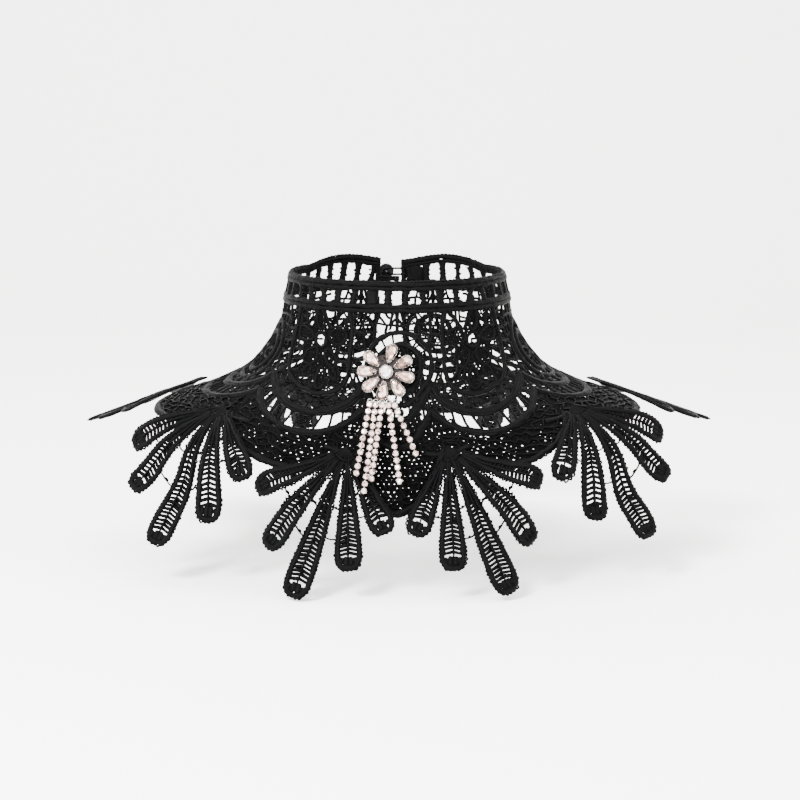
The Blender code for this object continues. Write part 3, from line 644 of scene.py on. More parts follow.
def addFlowerMedallion(work, halfWidth, index):
    wide = halfWidth / 0.0243
    bottom = archLine(yokeLook["innerArch"], halfWidth, -0.64, 0.64, 9)
    sides = [(0.0194 * wide, 0.0140), (0.0214 * wide, 0.0235), (0.0209 * wide, 0.0335), (0.0184 * wide, 0.0430)]
    outline = [(-x, y) for x, y in sides] + [tuple(p) for p in bottom] + sides[::-1]
    rings = addOpenings(work, flowerOpenings, wide)
    eye = np.array([(0.0040 * math.cos(t), 0.0292 + 0.0036 * math.sin(t)) for t in np.linspace(0, 2 * math.pi, 9)[:-1]])
    addCord(work, eye, 0.0016, closed=True, sides=6)
    pitch, hole = ("looserPitch", "looserHole") if abs(index) > 2 else ("petalPitch", "petalHole")
    addGround(work, outline, yokeLook[pitch], yokeLook[hole], jitter=0.16, openings=rings + [eye])
    addCord(work, outline, yokeLook["cordWidth"])
    for start, end in flowerBars:
        for side in (-1, 1):
            spread = (side * wide / 1000, 1 / 1000)
            addBride(work, np.array(start) * spread, np.array(end) * spread, 0.0014, sag=rng.normal(0, 0.0005))
    # raised edges of the petals
    addCord(work, teardrop((0.0, 0.0192), 0.0, 0.0098, 0.0062), 0.0015, closed=True, sides=6, pitch=0.0011)
    addCord(work, teardrop((0.0, 0.0482), math.pi, 0.0112, 0.0052), 0.0015, closed=True, sides=6, pitch=0.0011)
    for side in (-1, 1):
        for middle, degrees, length, width in (((0.0118, 0.0270), 80, 0.0126, 0.0070), ((0.0060, 0.0375), 140, 0.0104, 0.0068),
                                               ((0.0072, 0.0452), 158, 0.0060, 0.0038)):
            petal = teardrop((side * middle[0] * wide, middle[1]), side * math.radians(degrees), length, width)
            addCord(work, petal, 0.0014, closed=True, sides=6, pitch=0.0011)


ringLook = {
    "centre": (0.0012, 0.0415),
    "discRadius": 0.0122,
    "outerRadius": 0.0180,
    "cells": 16,
}
# thin slanted bars above the ring, from and to, across and down, in millimetres
ringBars = (
    ((2.0, 13.8), (4.0, 20.6)), ((9.2, 13.8), (11.6, 20.0)), ((16.4, 13.8), (19.0, 21.0)), ((5.4, 20.6), (6.6, 24.4)),
    ((12.2, 20.0), (12.6, 28.2)), ((18.4, 21.2), (17.0, 33.4)), ((12.6, 24.2), (21.6, 25.2)), ((17.6, 29.6), (22.0, 30.4)),
    ((0.5, 13.8), (0.3, 23.8)), ((0.4, 17.4), (4.2, 22.8)), ((6.8, 13.8), (3.2, 17.2)), ((9.8, 16.4), (6.0, 20.4)),
)


def addRingMedallion(work, halfWidth, index):
    # a worked round with a ring of cells about it, dense only under the brooch
    look = ringLook
    middle = np.array(look["centre"])
    wide = min(1.0, halfWidth / 0.0222)

    def ringPoint(angle, radius):
        return middle + np.array([math.sin(angle) * radius * wide, -math.cos(angle) * radius * 0.98])

    turns = [2 * math.pi * k / 20 for k in range(20)]
    disc, outer = look["discRadius"], look["outerRadius"]
    addCord(work, [ringPoint(t, disc - 0.0002) for t in turns], 0.0028, closed=True)
    addCord(work, [ringPoint(t, outer) for t in turns], 0.0027, closed=True)
    pitch, hole = ("looserPitch", "looserHole") if index else ("petalPitch", "petalHole")
    addGround(work, [ringPoint(t, disc) for t in turns], yokeLook[pitch], yokeLook[hole], jitter=0.16)
    for k in range(look["cells"]):
        angle = 2 * math.pi * (k + 0.5) / look["cells"] + rng.normal(0, 0.05)
        addBride(work, ringPoint(angle, disc + 0.0004), ringPoint(angle + 0.03, outer - 0.0004), 0.0011)
    for turn in (0, math.pi / 2, math.pi, -math.pi / 2):
        addCord(work, teardrop(ringPoint(turn, 0.0058), turn, 0.0100, 0.0060), 0.0015, closed=True, sides=6, pitch=0.0011)
    wave = [(-0.0224, 0.0212), (-0.0120, 0.0198), (0.0, 0.0206), (0.0120, 0.0198), (0.0224, 0.0212)]
    addCord(work, wave, 0.0013, sides=6)
    for side in (-1, 1):
        for start, end in ringBars:
            spread = (side * wide / 1000, 1 / 1000)
            addBride(work, np.array(start) * spread, np.array(end) * spread, 0.0014, sag=rng.normal(0, 0.0005))
    for start, end in (((-0.0160, 0.0508), (-0.0205, 0.0470)), ((0.0172, 0.0508), (0.0205, 0.0470)),
                       ((-0.0100, 0.0575), (-0.0120, 0.0610)), ((0.0100, 0.0575), (0.0120, 0.0610))):
        addBride(work, start, end, 0.0012)


def addArches(work, halfWidth, index):
    second, outer = yokeLook["secondArch"], yokeLook["outerArch"]
    width = yokeLook["cordWidth"]
    for arch, spread in ((second, 0.0011), (outer, 0.0008)):
        for offset, lift in ((-spread, 0.0010), (spread, 0.0010), (0.0, 0.0014)):
            line = smoothLine(archLine(arch, halfWidth, -1.0, 1.0, 40, offset), 0.0009)
            addThread(work, line, width, yokeLook["cordHeight"] * 0.8, lift, sides=7, knobble=0.14, raised=True)
    if index == 0:                   # worked shut behind the chains
        upper = archLine(second, halfWidth, -0.7, 0.7, 20)
        lower = archLine(outer, halfWidth, -0.7, 0.7, 20)
        addGround(work, np.vstack([upper, lower[::-1]]), yokeLook["netPitch"], yokeLook["netHole"], jitter=0.2)
    count = yokeLook["rungs"]
    for k in range(count + 1):
        reach = -0.94 + 1.88 * k / count
        lean = 0.03 * rng.standard_normal()
        top = (reach * halfWidth, second[0] - second[1] * reach ** 2 + 0.0014)
        low = ((reach * 1.03 + lean) * halfWidth, outer[0] - outer[1] * reach ** 2 - 0.0014)
        addBride(work, top, low, 0.0011 + 0.0003 * rng.random())
    inner = yokeLook["innerArch"]
    for number, reach in enumerate((-0.84, -0.66, -0.46, -0.26, -0.05, 0.16, 0.38, 0.58, 0.78)):
        # a dot on a short bar, in turn from the upper arch and from the lower one
        reach += 0.03 * rng.standard_normal()
        above = inner[0] - inner[1] * reach ** 2 + 0.0006
        below = second[0] - second[1] * reach ** 2 - 0.0016
        x = reach * halfWidth
        hangs = number % 2 == 0
        dot = (x, above * 0.5 + below * 0.5 - 0.0006 if hangs else above * 0.3 + below * 0.7)
        addBride(work, (x - 0.0005, above), dot, 0.0011)
        addBride(work, dot, (x + 0.0008, below), 0.0011)
        addKnot(work, dot, 0.0021, 0.0021, 0.0011)


def addCrescent(work, halfWidth, index):
    reach = np.linspace(-0.99, 0.99, 34)
    middle, rise = yokeLook["outerArch"]
    upper = np.column_stack([reach * halfWidth, middle - rise * reach ** 2 + 0.0016])
    edge = np.column_stack([reach * halfWidth, crescentDown(reach, index) - 0.0012])
    region = np.vstack([upper, edge[::-1]])
    pitch, hole = ("looserPitch", "looserHole") if abs(index) > 2 else ("netPitch", "netHole")
    addGround(work, region, yokeLook[pitch], yokeLook[hole], jitter=0.16)
    addNet(work, region, yokeLook["netPitch"] * 1.9, 0.0009, 0.0010, 0.0015, jitter=0.3, turn=0.5, keep=0.5, sides=4)
    line = smoothLine(edge, 0.0007)
    addThread(work, line, 0.0034, yokeLook["cordHeight"], yokeLook["cordLift"], sides=7, knobble=0.14, raised=True)
    addThread(work, sawEdge(line, 0.0011, 0.0006, 0.0019), 0.0012, 0.0012, 0.0010, sides=5, raised=True)


# thin bars between a flower and a ring, from and to, across and down, in millimetres
junctionBars = (
    ((3.2, 17.4), (-2.0, 16.6)), ((3.2, 24.6), (-5.0, 25.4)), ((3.4, 30.8), (-7.0, 32.6)), ((3.8, 36.6), (-4.4, 37.4)),
    ((4.6, 42.6), (-3.4, 43.6)), ((6.2, 48.4), (-5.2, 49.6)), ((1.0, 43.4), (0.4, 49.2)), ((0.0, 49.2), (-1.0, 54.6)),
)


def addJunction(work, flowerSide):
    # big uneven cells between two medallions, and under the place where two arches meet
    for start, end in junctionBars:
        spread = (flowerSide / 1000, 1 / 1000)
        addBride(work, np.array(start) * spread, np.array(end) * spread, 0.0014, sag=rng.normal(0, 0.0005))
    lower = np.array([(-0.0105, 0.0720), (0.0, 0.0600), (0.0105, 0.0720), (0.0080, 0.0835), (-0.0080, 0.0835)])
    openings = [openingRing(((side * 0.9, 69.4), (side * 5.6, 68.6), (side * 8.4, 73.6), (side * 5.6, 77.2), (side * 1.0, 76.8)), 1, 1) for side in (-1, 1)]
    openings += [openingRing(((side * 0.9, 78.4), (side * 5.6, 78.6), (side * 6.4, 81.6), (side * 1.0, 82.2)), 1, 1) for side in (-1, 1)]
    for ring in openings:
        addThread(work, ring, 0.0010, 0.0014, 0.0009, closed=True, sides=6, knobble=0.12)
    addGround(work, lower, yokeLook["netPitch"], yokeLook["petalHole"], jitter=0.16, openings=openings)
    addCord(work, [(-0.0095, 0.0826), (-0.0030, 0.0842), (0.0030, 0.0842), (0.0095, 0.0826)], 0.0028)


def yokeStretch(name, low, high, openEnd=None):
    # the fine ground and threads are one piece, and the cords raised over them another
    print("weaving", name)
    works = []
    for index in range(-4, 5):
        middle = index * 2 * halfRepeat
        if middle + halfRepeat <= low or middle - halfRepeat >= high:
            continue
        halfWidth, place = repeatPlacer(middle)
        work = LaceWork()
        if index % 2:
            addFlowerMedallion(work, halfWidth, index)
        else:
            addRingMedallion(work, halfWidth, index)
        addArches(work, halfWidth, index)
        addCrescent(work, halfWidth, index)
        top = np.column_stack([np.linspace(-halfWidth, halfWidth, 60), np.full(60, yokeLook["top"] + 0.0010)])
        addThread(work, top, 0.0029, 0.0022, 0.0011, sides=7, knobble=0.10, taper=False, raised=True)
        works.append((work, place))
    for index in range(-5, 5):
        middle = (2 * index + 1) * halfRepeat
        if middle + 0.2 < low or middle - 0.2 > high or abs(middle) > math.pi:
            continue
        halfWidth, place = repeatPlacer(middle)
        work = LaceWork()
        addJunction(work, -1 if index % 2 else 1)
        works.append((work, place))
    if openEnd is not None:
        work = LaceWork()
        downs = np.linspace(yokeLook["top"] + 0.0006, openEnd[1], 90)
        addThread(work, np.column_stack([np.full(90, openEnd[0]), downs]), 0.0022, 0.0020, 0.0011, sides=7, knobble=0.06,
                  raised=True)
        works.append((work, lambda line: line))
    fine = [(clipThreads(work.fine, place, low, high), clipGround(work.ground, place, low, high), lambda line: line)
            for work, place in works]
    cords = [(clipThreads(work.cords, place, low, high), [], lambda line: line) for work, place in works]
    return (weaveMesh(name + "Lace", [made for made in fine if made[0]], clothSurface, rayon),
            weaveMesh(name + "Cords", [made for made in cords if made[0]], clothSurface, rayon))


frontStretch = (-math.radians(100) + 0.0029, math.radians(100) - 0.0029)
backLeftStretch = (-math.pi + 0.0085 / neck["halfWidth"], -math.radians(100) - 0.0029)
backRightStretch = (math.radians(100) + 0.0029, math.pi - 0.0020 / neck["halfWidth"])


def crescentAt(azimuth):
    index = round(azimuth / (2 * halfRepeat))
    return float(crescentDown((azimuth - index * 2 * halfRepeat) / halfRepeat, index))


def declareLace(piece, node, cords=None):
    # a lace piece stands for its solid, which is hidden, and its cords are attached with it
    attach(piece, "root")
    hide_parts(node)
    if cords:
        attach(cords, "root")


leftOpenEnd = (backLeftStretch[0] + 0.0014 / neck["halfWidth"], crescentAt(backLeftStretch[0]) - 0.0012)
rightOpenEnd = (backRightStretch[1] - 0.0014 / neck["halfWidth"], crescentAt(backRightStretch[1]) - 0.0012)
yokeFront, yokeFrontCords = yokeStretch("yokeFront", *frontStretch)
yokeBackLeft, yokeBackLeftCords = yokeStretch("yokeBackLeft", *backLeftStretch, openEnd=leftOpenEnd)
yokeBackRight, yokeBackRightCords = yokeStretch("yokeBackRight", *backRightStretch, openEnd=rightOpenEnd)
declareLace(yokeFront, "yoke_front", yokeFrontCords)
declareLace(yokeBackLeft, "yoke_back_left", yokeBackLeftCords)
declareLace(yokeBackRight, "yoke_back_right", yokeBackRightCords)

# neckband: paired cords along the top, one below, and a ladder of toothed bars between them
bandLook = {
    "depth": 0.0125,
    "cordWidth": 0.0026,
    "barPitch": 0.0079,
    "barWidth": 0.0030,
    "barSpread": 0.0048,      # width of a bar where it joins the cords
    "backLobeRise": 0.0036,
    "solids": ((-13.0, 0.0066), (169.2, 0.0124)),    # degrees round and width where the ladder is filled in
    "tabReach": 0.0098,
    "tabDowns": (0.0088, 0.0102, 0.0116),
}


def bandTop(azimuth):
    reach = (np.abs(azimuth) - math.radians(149)) / math.radians(27)
    return np.where(np.abs(reach) < 1, -bandLook["backLobeRise"] * np.cos(np.clip(reach, -1, 1) * math.pi / 2) ** 1.2, 0.0)


def bandStretch(name, low, high):
    print("weaving", name)
    work = LaceWork()
    scale = neck["halfWidth"]
    width = bandLook["cordWidth"]
    count = int((high - low) * scale / 0.0007)
    across = np.linspace(low * scale, high * scale, count)
    edge = bandTop(across / scale)
    for offset, cord in ((0.0013, width), (0.0033, 0.0024)):
        addThread(work, np.column_stack([across, edge + offset]), cord, 0.0022, 0.0011, sides=8, knobble=0.11, taper=False)
    addThread(work, np.column_stack([across, np.full(count, 0.0116)]), 0.0028, 0.0022, 0.0011, sides=8, knobble=0.11, taper=False)
    if low < -2.9:                     # the tab under the button, up to the other end of the band
        for down in bandLook["tabDowns"]:
            tab = np.column_stack([np.linspace(-bandLook["tabReach"], 0.0012, 16) + low * scale, np.full(16, down)])
            addThread(work, tab, 0.0017, 0.0015, 0.0009, sides=7, knobble=0.12)
    loops = sawEdge(np.column_stack([across, edge + 0.0013]), -0.0010, -0.0005, 0.0021)
    addThread(work, loops, 0.0011, 0.0012, 0.0010, sides=5)
    bars = int((high - low) * scale / bandLook["barPitch"])
    spots = [(low * scale + (k + 0.5) * (high - low) * scale / bars, None) for k in range(bars)]
    spots += [(math.radians(d) * scale, wide) for d, wide in bandLook["solids"] if low < math.radians(d) < high]
    for middle, solid in spots:
        top = float(bandTop(middle / scale)) + 0.0040
        lean = rng.normal(0, 0.0005)
        steps = np.linspace(0, 1, 9)
        line = np.column_stack([middle + lean * (steps - 0.5) * 2, top + (0.0108 - top) * steps])
        spread = np.abs(steps * 2 - 1) ** 2.5
        bar = bandLook["barWidth"] * rng.uniform(0.8, 1.15) + (bandLook["barSpread"] - bandLook["barWidth"]) * spread
        if solid:
            bar = np.full(9, solid)
        addThread(work, line, bar, 0.0016, 0.0009, sides=8, knobble=0.05, taper=False)
        for side in (-1, 1):         # teeth along the bar
            for share in (0.28, 0.62):
                tooth = (middle + side * bandLook["barWidth"] * 0.5, top + (0.0108 - top) * (share + rng.normal(0, 0.06)))
                addKnot(work, tooth, 0.0007 * rng.uniform(0.7, 1.2), 0.0012, 0.0009, sides=6)
    for end, inset in ((low, 0.0013), (high, -0.0013)):
        if abs(end) > math.radians(120):
            line = np.column_stack([np.full(18, end * scale + inset), np.linspace(float(bandTop(end)) + 0.0006, 0.0120, 18)])
            addThread(work, line, 0.0026, 0.0020, 0.0011, sides=7, knobble=0.08)
    return weaveMesh(name, [(work.fine, [], lambda line: line / (scale, 1))], clothSurface, rayon)


bandFront = bandStretch("neckbandFrontLace", *frontStretch)
bandBackLeft = bandStretch("neckbandBackLeftLace", *backLeftStretch)
bandBackRight = bandStretch("neckbandBackRightLace", *backRightStretch)
declareLace(bandFront, "neckband_front")
declareLace(bandBackLeft, "neckband_back_left")
declareLace(bandBackRight, "neckband_back_right")

# hanging fans of five fingers; each finger is a corded leaf with a ladder of threads inside
fans = (
    # name, side, azimuth, heading, slope, turn, size, radius of its bow
    ("front_left", -1, 18.0, 18.0, 67, -3, 0.97, 0.110),
    ("front_right", 1, 18.5, 18.5, 67, 0, 0.97, 0.110),
    ("side_left", -1, 62.0, 21, 63, 2, 0.96, 0.150),
    ("side_right", 1, 63.0, 24, 62, 5, 0.95, 0.150),
    ("shoulder_left", -1, 101.0, 98, 21, 0, 0.98, 0.220),
    ("shoulder_right", 1, 101.0, 98, 20, 0, 1.00, 0.220),
    ("back_left", -1, 141.0, 141, 38, 0, 0.97, 0.120),
    ("back_right", 1, 141.0, 141, 38, 0, 0.97, 0.120),
)
# angle from straight down, length and greatest width of each finger
fingers = (
    (-28, 0.0465, 0.0118), (-5, 0.0600, 0.0128), (17, 0.0765, 0.0140), (37, 0.0635, 0.0128), (57, 0.0520, 0.0118),
)
fanLook = {
    "cordWidth": 0.0026,
    "rungPitch": 0.0020,
    "rungWidth": 0.00182,
    "picotPitch": 0.0018,
    "picotDepth": 0.0007,
    "clear": 0.0026,          # how far a fan keeps over the net that it lies on
    "fade": 0.030,
    "area": 0.00232,          # worked size of one fan, in square metres
}


def pushOffYoke(points):
    # takes points of a fan just clear of the net under it
    steps = np.arange(fanRootDown - 0.010, fanRootDown + 0.045, 0.0005)
    moves = np.zeros_like(points)
    for start in range(0, len(points), 3000):
        part = points[start:start + 3000]
        azimuth = np.arctan2(part[:, 0], -part[:, 1])
        face = insideFace(azimuth[:, None], steps[None])
        nearest = steps[np.argmin(np.linalg.norm(face - part[:, None], axis=2), axis=1)]
        edge = np.array([crescentAt(a) for a in azimuth])
        beyond = (nearest - edge) / fanLook["fade"]
        normal = outward(azimuth, nearest)
        height = np.sum((part - insideFace(azimuth, nearest)) * normal, axis=1)
        share = np.where(beyond < 1, 1 - np.maximum(0, beyond) ** 2, 0)
        moves[start:start + 3000] = normal * (np.maximum(0, fanLook["clear"] - height) * share)[:, None]
    return moves


def fingerHalfWidth(along, length, tip):
    # half width of a finger at a distance from the fan's root
    share = along / length
    body = np.interp(share, (0.0, 0.2, 0.45, 0.65, 0.82, 1.0), (0.0014, 0.0019, tip * 0.60, tip * 0.84, tip, tip))
    cap = length - along
    return np.where(cap < tip, np.sqrt(np.maximum(0, tip ** 2 - (tip - cap) ** 2)), body)


def fanSurface(fan):
    _, side, azimuth, heading, slope, turn, size, bow = fan
    azimuth, heading, slope = side * math.radians(azimuth), side * math.radians(heading), math.radians(slope)
    root, _ = clothSurface(np.float64(azimuth), np.float64(fanRootDown), neck["wall"] + neck["cordRaise"] + 0.0006)
    facing = np.array([math.sin(heading), -math.cos(heading), 0])
    acrossAxis = np.array([math.cos(heading), math.sin(heading), 0]) * side
    downAxis = facing * math.cos(slope) - np.array([0, 0, math.sin(slope)])
    outAxis = facing * math.sin(slope) + np.array([0, 0, math.cos(slope)])

    def lay(across, down):
        return root + np.outer(across, acrossAxis) + np.outer(down, downAxis) - np.outer(across ** 2 / (2 * bow), outAxis)

    # how far each finger is pushed off the net, all across its width alike
    alongs = np.arange(0, 0.086, 0.0015)
    edges, moves = [], []
    for degrees, length, width in fingers:
        angle = math.radians(degrees + turn)
        halves = np.where(alongs < length * size, fingerHalfWidth(np.minimum(alongs, length * size), length * size, width / 2), 0)
        offers = []
        for share in (-1, -0.5, 0, 0.5, 1):
            across = alongs * math.sin(angle) + share * halves * math.cos(angle)
            down = alongs * math.cos(angle) - share * halves * math.sin(angle)
            offers.append(pushOffYoke(lay(across, down)))
        offers = np.array(offers)
        most = offers[np.argmax(np.linalg.norm(offers, axis=2), axis=0), np.arange(len(alongs))]
        kernel = np.hanning(17) / np.hanning(17).sum()
        smooth = np.stack([np.convolve(np.pad(most[:, k], 8, "edge"), kernel, "valid") for k in range(3)], axis=1)
        moves.append(smooth)
        edges.append((angle, np.arctan2(halves + 0.0010, np.maximum(alongs, 0.004))))

    def pushed(across, down):
        radius = np.hypot(across, down)
        angle = np.arctan2(across, down)

        def moveOf(number):
            return np.stack([np.interp(radius, alongs, moves[number][:, k]) for k in range(3)], axis=1)

        total = moveOf(0)
        for number in range(len(moves) - 1):
            leave = edges[number][0] + np.interp(radius, alongs, edges[number][1])
            reach = edges[number + 1][0] - np.interp(radius, alongs, edges[number + 1][1])
            middle, gap = (leave + reach) / 2, np.maximum(reach - leave, 0.08)
            share = np.clip((angle - middle) / gap + 0.5, 0, 1)
            total += (moveOf(number + 1) - moveOf(number)) * share[:, None]
        return total

    def surface(across, down, lift):
        normal = outAxis + np.outer(across / bow, acrossAxis)
        normal /= np.linalg.norm(normal, axis=1, keepdims=True)
        return lay(across, down) + pushed(across, down) + np.outer(lift, outAxis), normal

    return surface


def addFinger(work, degrees, length, width):
    angle = math.radians(degrees)
    tip = width / 2
    half = fanLook["cordWidth"] / 2

    def place(along, beside):
        along, beside = np.asarray(along, float), np.asarray(beside, float)
        return np.stack([along * math.sin(angle) + beside * math.cos(angle),
                         along * math.cos(angle) - beside * math.sin(angle)], axis=-1)

    start = 0.0070
    alongs = np.concatenate([np.linspace(start, length - tip, 22), length - tip * (1 - np.sin(np.linspace(0.2, 1.5, 7)))])
    alongs = alongs[alongs < length - half * 0.9]
    halves = np.maximum(fingerHalfWidth(alongs, length, tip) - half, 0.0008)
    left = place(alongs, -halves)
    right = place(alongs, halves)
    outline = np.vstack([left, place(length - half, 0.0)[None], right[::-1]])
    line = smoothLine(outline, 0.0008)
    run = np.linspace(0, 1, len(line))
    swell = fanLook["cordWidth"] * np.interp(np.abs(run * 2 - 1), (0, 0.5, 1), (1.08, 0.95, 0.62))
    addThread(work, line, swell, 0.0020, 0.0010, sides=7, knobble=0.11, raised=True)
    fine = smoothLine(outline, 0.00042)
    addThread(work, sawEdge(fine, 0.0009, fanLook["picotDepth"], fanLook["picotPitch"]), 0.0011, 0.0011, 0.0010, sides=4,
              raised=True)
    vein = smoothLine(place([start, length * 0.5, length - 0.006], [0, 0, 0]), 0.0018)
    addThread(work, vein, 0.0012, 0.0014, 0.0013, sides=6, knobble=0.12)
    along = length * 0.18
    while along < length - 0.0068:
        reach = fingerHalfWidth(along + 0.0008, length, tip) - half
        if reach > 0.0007:
            for side in (-1, 1):
                bar = place([along - 0.0005, along + 0.0001, along + 0.0007], [0, side * reach * 0.5, side * reach])
                swell = fanLook["rungWidth"] * np.array([1.1, 1.0, 0.9]) * rng.uniform(0.8, 1.15)
                addThread(work, bar, swell, 0.0010, 0.0009, sides=5, taper=False)
        along += fanLook["rungPitch"] * rng.uniform(0.93, 1.07)
    for offset in (-0.62, -0.2, 0.2, 0.62):       # the worked cap at the tip
        depth = 0.0066 - 0.0014 * abs(offset)
        top = length - depth - rng.uniform(0, 0.0008)
        line = smoothLine(place([top, length - depth * 0.55, length - 0.0017 - 0.0022 * abs(offset)],
                                [offset * tip * 0.8, offset * tip * 0.95, offset * tip * 0.72]), 0.0008)
        addThread(work, line, tip * 0.46, 0.0014, 0.0010, sides=6, knobble=0.08)


def fanPiece(fan):
    name, _, _, _, _, turn, size, _ = fan
    print("weaving fan", name)
    work = LaceWork()
    for degrees, length, width in fingers:
        addFinger(work, degrees + turn, length * size, width)
    for k in range(len(fingers) - 1):             # thin bars with a knot, between neighbours
        for share in (0.50, 0.74):
            first, second = fingers[k], fingers[k + 1]
            along = min(first[1], second[1]) * size * share
            a = math.radians(first[0] + turn)
            b = math.radians(second[0] + turn)
            ha = float(fingerHalfWidth(along, first[1] * size, first[2] / 2))
            hb = float(fingerHalfWidth(along, second[1] * size, second[2] / 2))
            start = np.array([along * math.sin(a) + ha * math.cos(a), along * math.cos(a) - ha * math.sin(a)])
            end = np.array([along * math.sin(b) - hb * math.cos(b), along * math.cos(b) + hb * math.sin(b)])
            if np.linalg.norm(end - start) > 0.0015:
                addBride(work, start, end, 0.0008, sag=0.0004)
                if rng.random() < 0.5:
                    addKnot(work, (start + end) / 2, 0.0008, 0.0011, 0.0010, sides=6)
    # the root, where the fingers run together into the net
    fanTurns = [math.radians(d + turn) for d in np.linspace(-30, 60, 8)]
    addCord(work, [(0.0062 * math.sin(t), 0.0062 * math.cos(t)) for t in fanTurns], 0.0013)
    for k in range(10):
        t = math.radians(-36 + turn + 102 * k / 9)
        addBride(work, (-0.0010 * math.sin(t), -0.0010 * math.cos(t)), (0.0084 * math.sin(t), 0.0084 * math.cos(t)), 0.0012)
    title = "fan" + name.title().replace("_", "")
    surface = fanSurface(fan)
    return (weaveMesh(title + "Lace", [(work.fine, [], lambda line: line)], surface, rayon),
            weaveMesh(title + "Cords", [(work.cords, [], lambda line: line)], surface, rayon))


for fan in fans:
    piece, cords = fanPiece(fan)
    declareLace(piece, f"fan_{fan[0]}", cords)


def seat(azimuth, down, lift, turn=0.0):
    # frame on the cloth: X across, Y up the cloth, Z outward
    place, normal = clothSurface(np.float64(azimuth), np.float64(down), lift)
    out = Vector(normal)
    up = Vector((0, 0, 1))
    up = (up - out * up.dot(out)).normalized()
    across = up.cross(out)
    made = Matrix((across, up, out)).transposed().to_4x4()
    made.translation = Vector(place)
    return made @ Matrix.Rotation(turn, 4, "Z")


def azimuthAcross(across, down):
    # azimuth at which the front of the cloth is a distance across
    azimuth = across / 0.060
    for _ in range(12):
        azimuth = math.asin(across / float(ringRadius(np.float64(azimuth), np.float64(down))))
    return azimuth


class Shapes:
    # gathers rings of points into one mesh, each placed by its own frame
    def __init__(self):
        self.points, self.faces = [], []

    def addRings(self, rings, place, twist=False, closeStart=True, closeEnd=True):
        first = len(self.points)
        count = len(rings[0])
        for ring in rings:
            self.points += [tuple(place @ Vector(point)) for point in ring]
        for level in range(len(rings) - 1):
            a, b = first + level * count, first + (level + 1) * count
            for k in range(count):
                after = (k + 1) % count
                if twist:            # triangles, for cut facets
                    self.faces.append((a + k, a + after, b + k))
                    self.faces.append((a + after, b + after, b + k))
                else:
                    self.faces.append((a + k, a + after, b + after, b + k))
        if closeStart:
            self.faces.append(tuple(first + k for k in reversed(range(count))))
        if closeEnd:
            last = first + (len(rings) - 1) * count
            self.faces.append(tuple(last + k for k in range(count)))

    def make(self, name, material, smooth):
        totals = np.array([len(face) for face in self.faces])
        loops = np.array([k for face in self.faces for k in face])
        return meshPiece(name, np.array(self.points), loops, totals, np.zeros((len(loops), 2)), material, smooth)


def roundRing(radius, height, count, start=0.0):
    turns = [start + 2 * math.pi * k / count for k in range(count)]
    return [(radius * math.cos(t), radius * math.sin(t), height) for t in turns]


def addWire(shapes, points, radius, place, count=8, closed=False):
    # round wire along points, in a frame
    points = [Vector(point) for point in points]
    rings = []
    total = len(points)
    for k, point in enumerate(points):
        before = points[k - 1] if closed or k else point
        after = points[(k + 1) % total] if closed or k + 1 < total else point
        ahead = (after - before).normalized()
        helper = Vector((0, 0, 1)) if abs(ahead.z) < 0.9 else Vector((1, 0, 0))
        side = ahead.cross(helper).normalized()
        up = side.cross(ahead)
        rings.append([tuple(point + (side * math.cos(t) + up * math.sin(t)) * radius)
                      for t in (2 * math.pi * n / count for n in range(count))])
    if closed:
        rings.append(rings[0])
    shapes.addRings(rings, place, closeStart=not closed, closeEnd=not closed)


# Pink lead crystal, cut and polished, foiled behind, under a hard clear shine. The light and
# near-black flecks inside each facet are painted reflections and painted shade: random cells of pale, blush and
# near-black colour.
crystalLook = {"paleColour": "#eacfc3", "blushShadeColour": "#b68c7c", "darkReflectionColour": "#2a1a16", "reflectionFleckMm": 1.8}


def crystalMaterial(name, pale, blushShade, darkReflection, reflectionFleckMm, darkReflectionShare):
    material, tree, shader = newMaterial(name, {
        "Roughness": 0.10, "IOR": 1.56, "Metallic": 0.75, "Coat Weight": 0.6, "Coat Roughness": 0.03,
    })
    where = addNode(tree, "ShaderNodeTexCoord")
    cells = addNode(tree, "ShaderNodeTexVoronoi", {"feature": "F1", "Scale": 1000 / reflectionFleckMm, "Randomness": 1.0},
                    {"Vector": (where, "Object")})
    grey = addNode(tree, "ShaderNodeSeparateColor", None, {"Color": (cells, "Color")})
    # painted reflections and shade: each random cell gets near-black, blush or pale
    ramp = addNode(tree, "ShaderNodeValToRGB", None, {"Fac": (grey, "Red")})
    stops = ramp.color_ramp.elements
    stops[0].color = linearColour(darkReflection)
    stops[1].color = linearColour(pale)
    middle = stops.new(darkReflectionShare)
    middle.color = linearColour(blushShade)
    bright = stops.new(min(0.95, darkReflectionShare + 0.3))
    bright.color = linearColour(pale)
    tree.links.new(ramp.outputs["Color"], shader.inputs["Base Color"])
    facet = addNode(tree, "ShaderNodeBump", {"Strength": 0.5, "Distance": 0.0002}, {"Height": (cells, "Distance")})
    tree.links.new(facet.outputs["Normal"], shader.inputs["Normal"])
    return material


# the flecks of every stone are painted reflections and shade, each stone with its own colours
petalCrystal = crystalMaterial("foiledPinkCrystalPaintedReflections", crystalLook["paleColour"], crystalLook["blushShadeColour"],
                               crystalLook["darkReflectionColour"], crystalLook["reflectionFleckMm"], 0.42)
chainCrystal = crystalMaterial("foiledPaleCrystalPaintedReflections", "#f0dad1", "#cba79b", "#6c4c43", 1.0, 0.22)
centreCrystal = crystalMaterial("foiledClearCrystalPaintedReflections", "#fff8f5", "#ecd8d0", "#a78c82", 1.4, 0.20)

# Rhodium-plated brass, cast and tumbled: cool, bright, with fine wear in the low places.
silverLook = {"brightColour": "#a9a5a1", "dullColour": "#3a3634", "wearMm": 0.8}


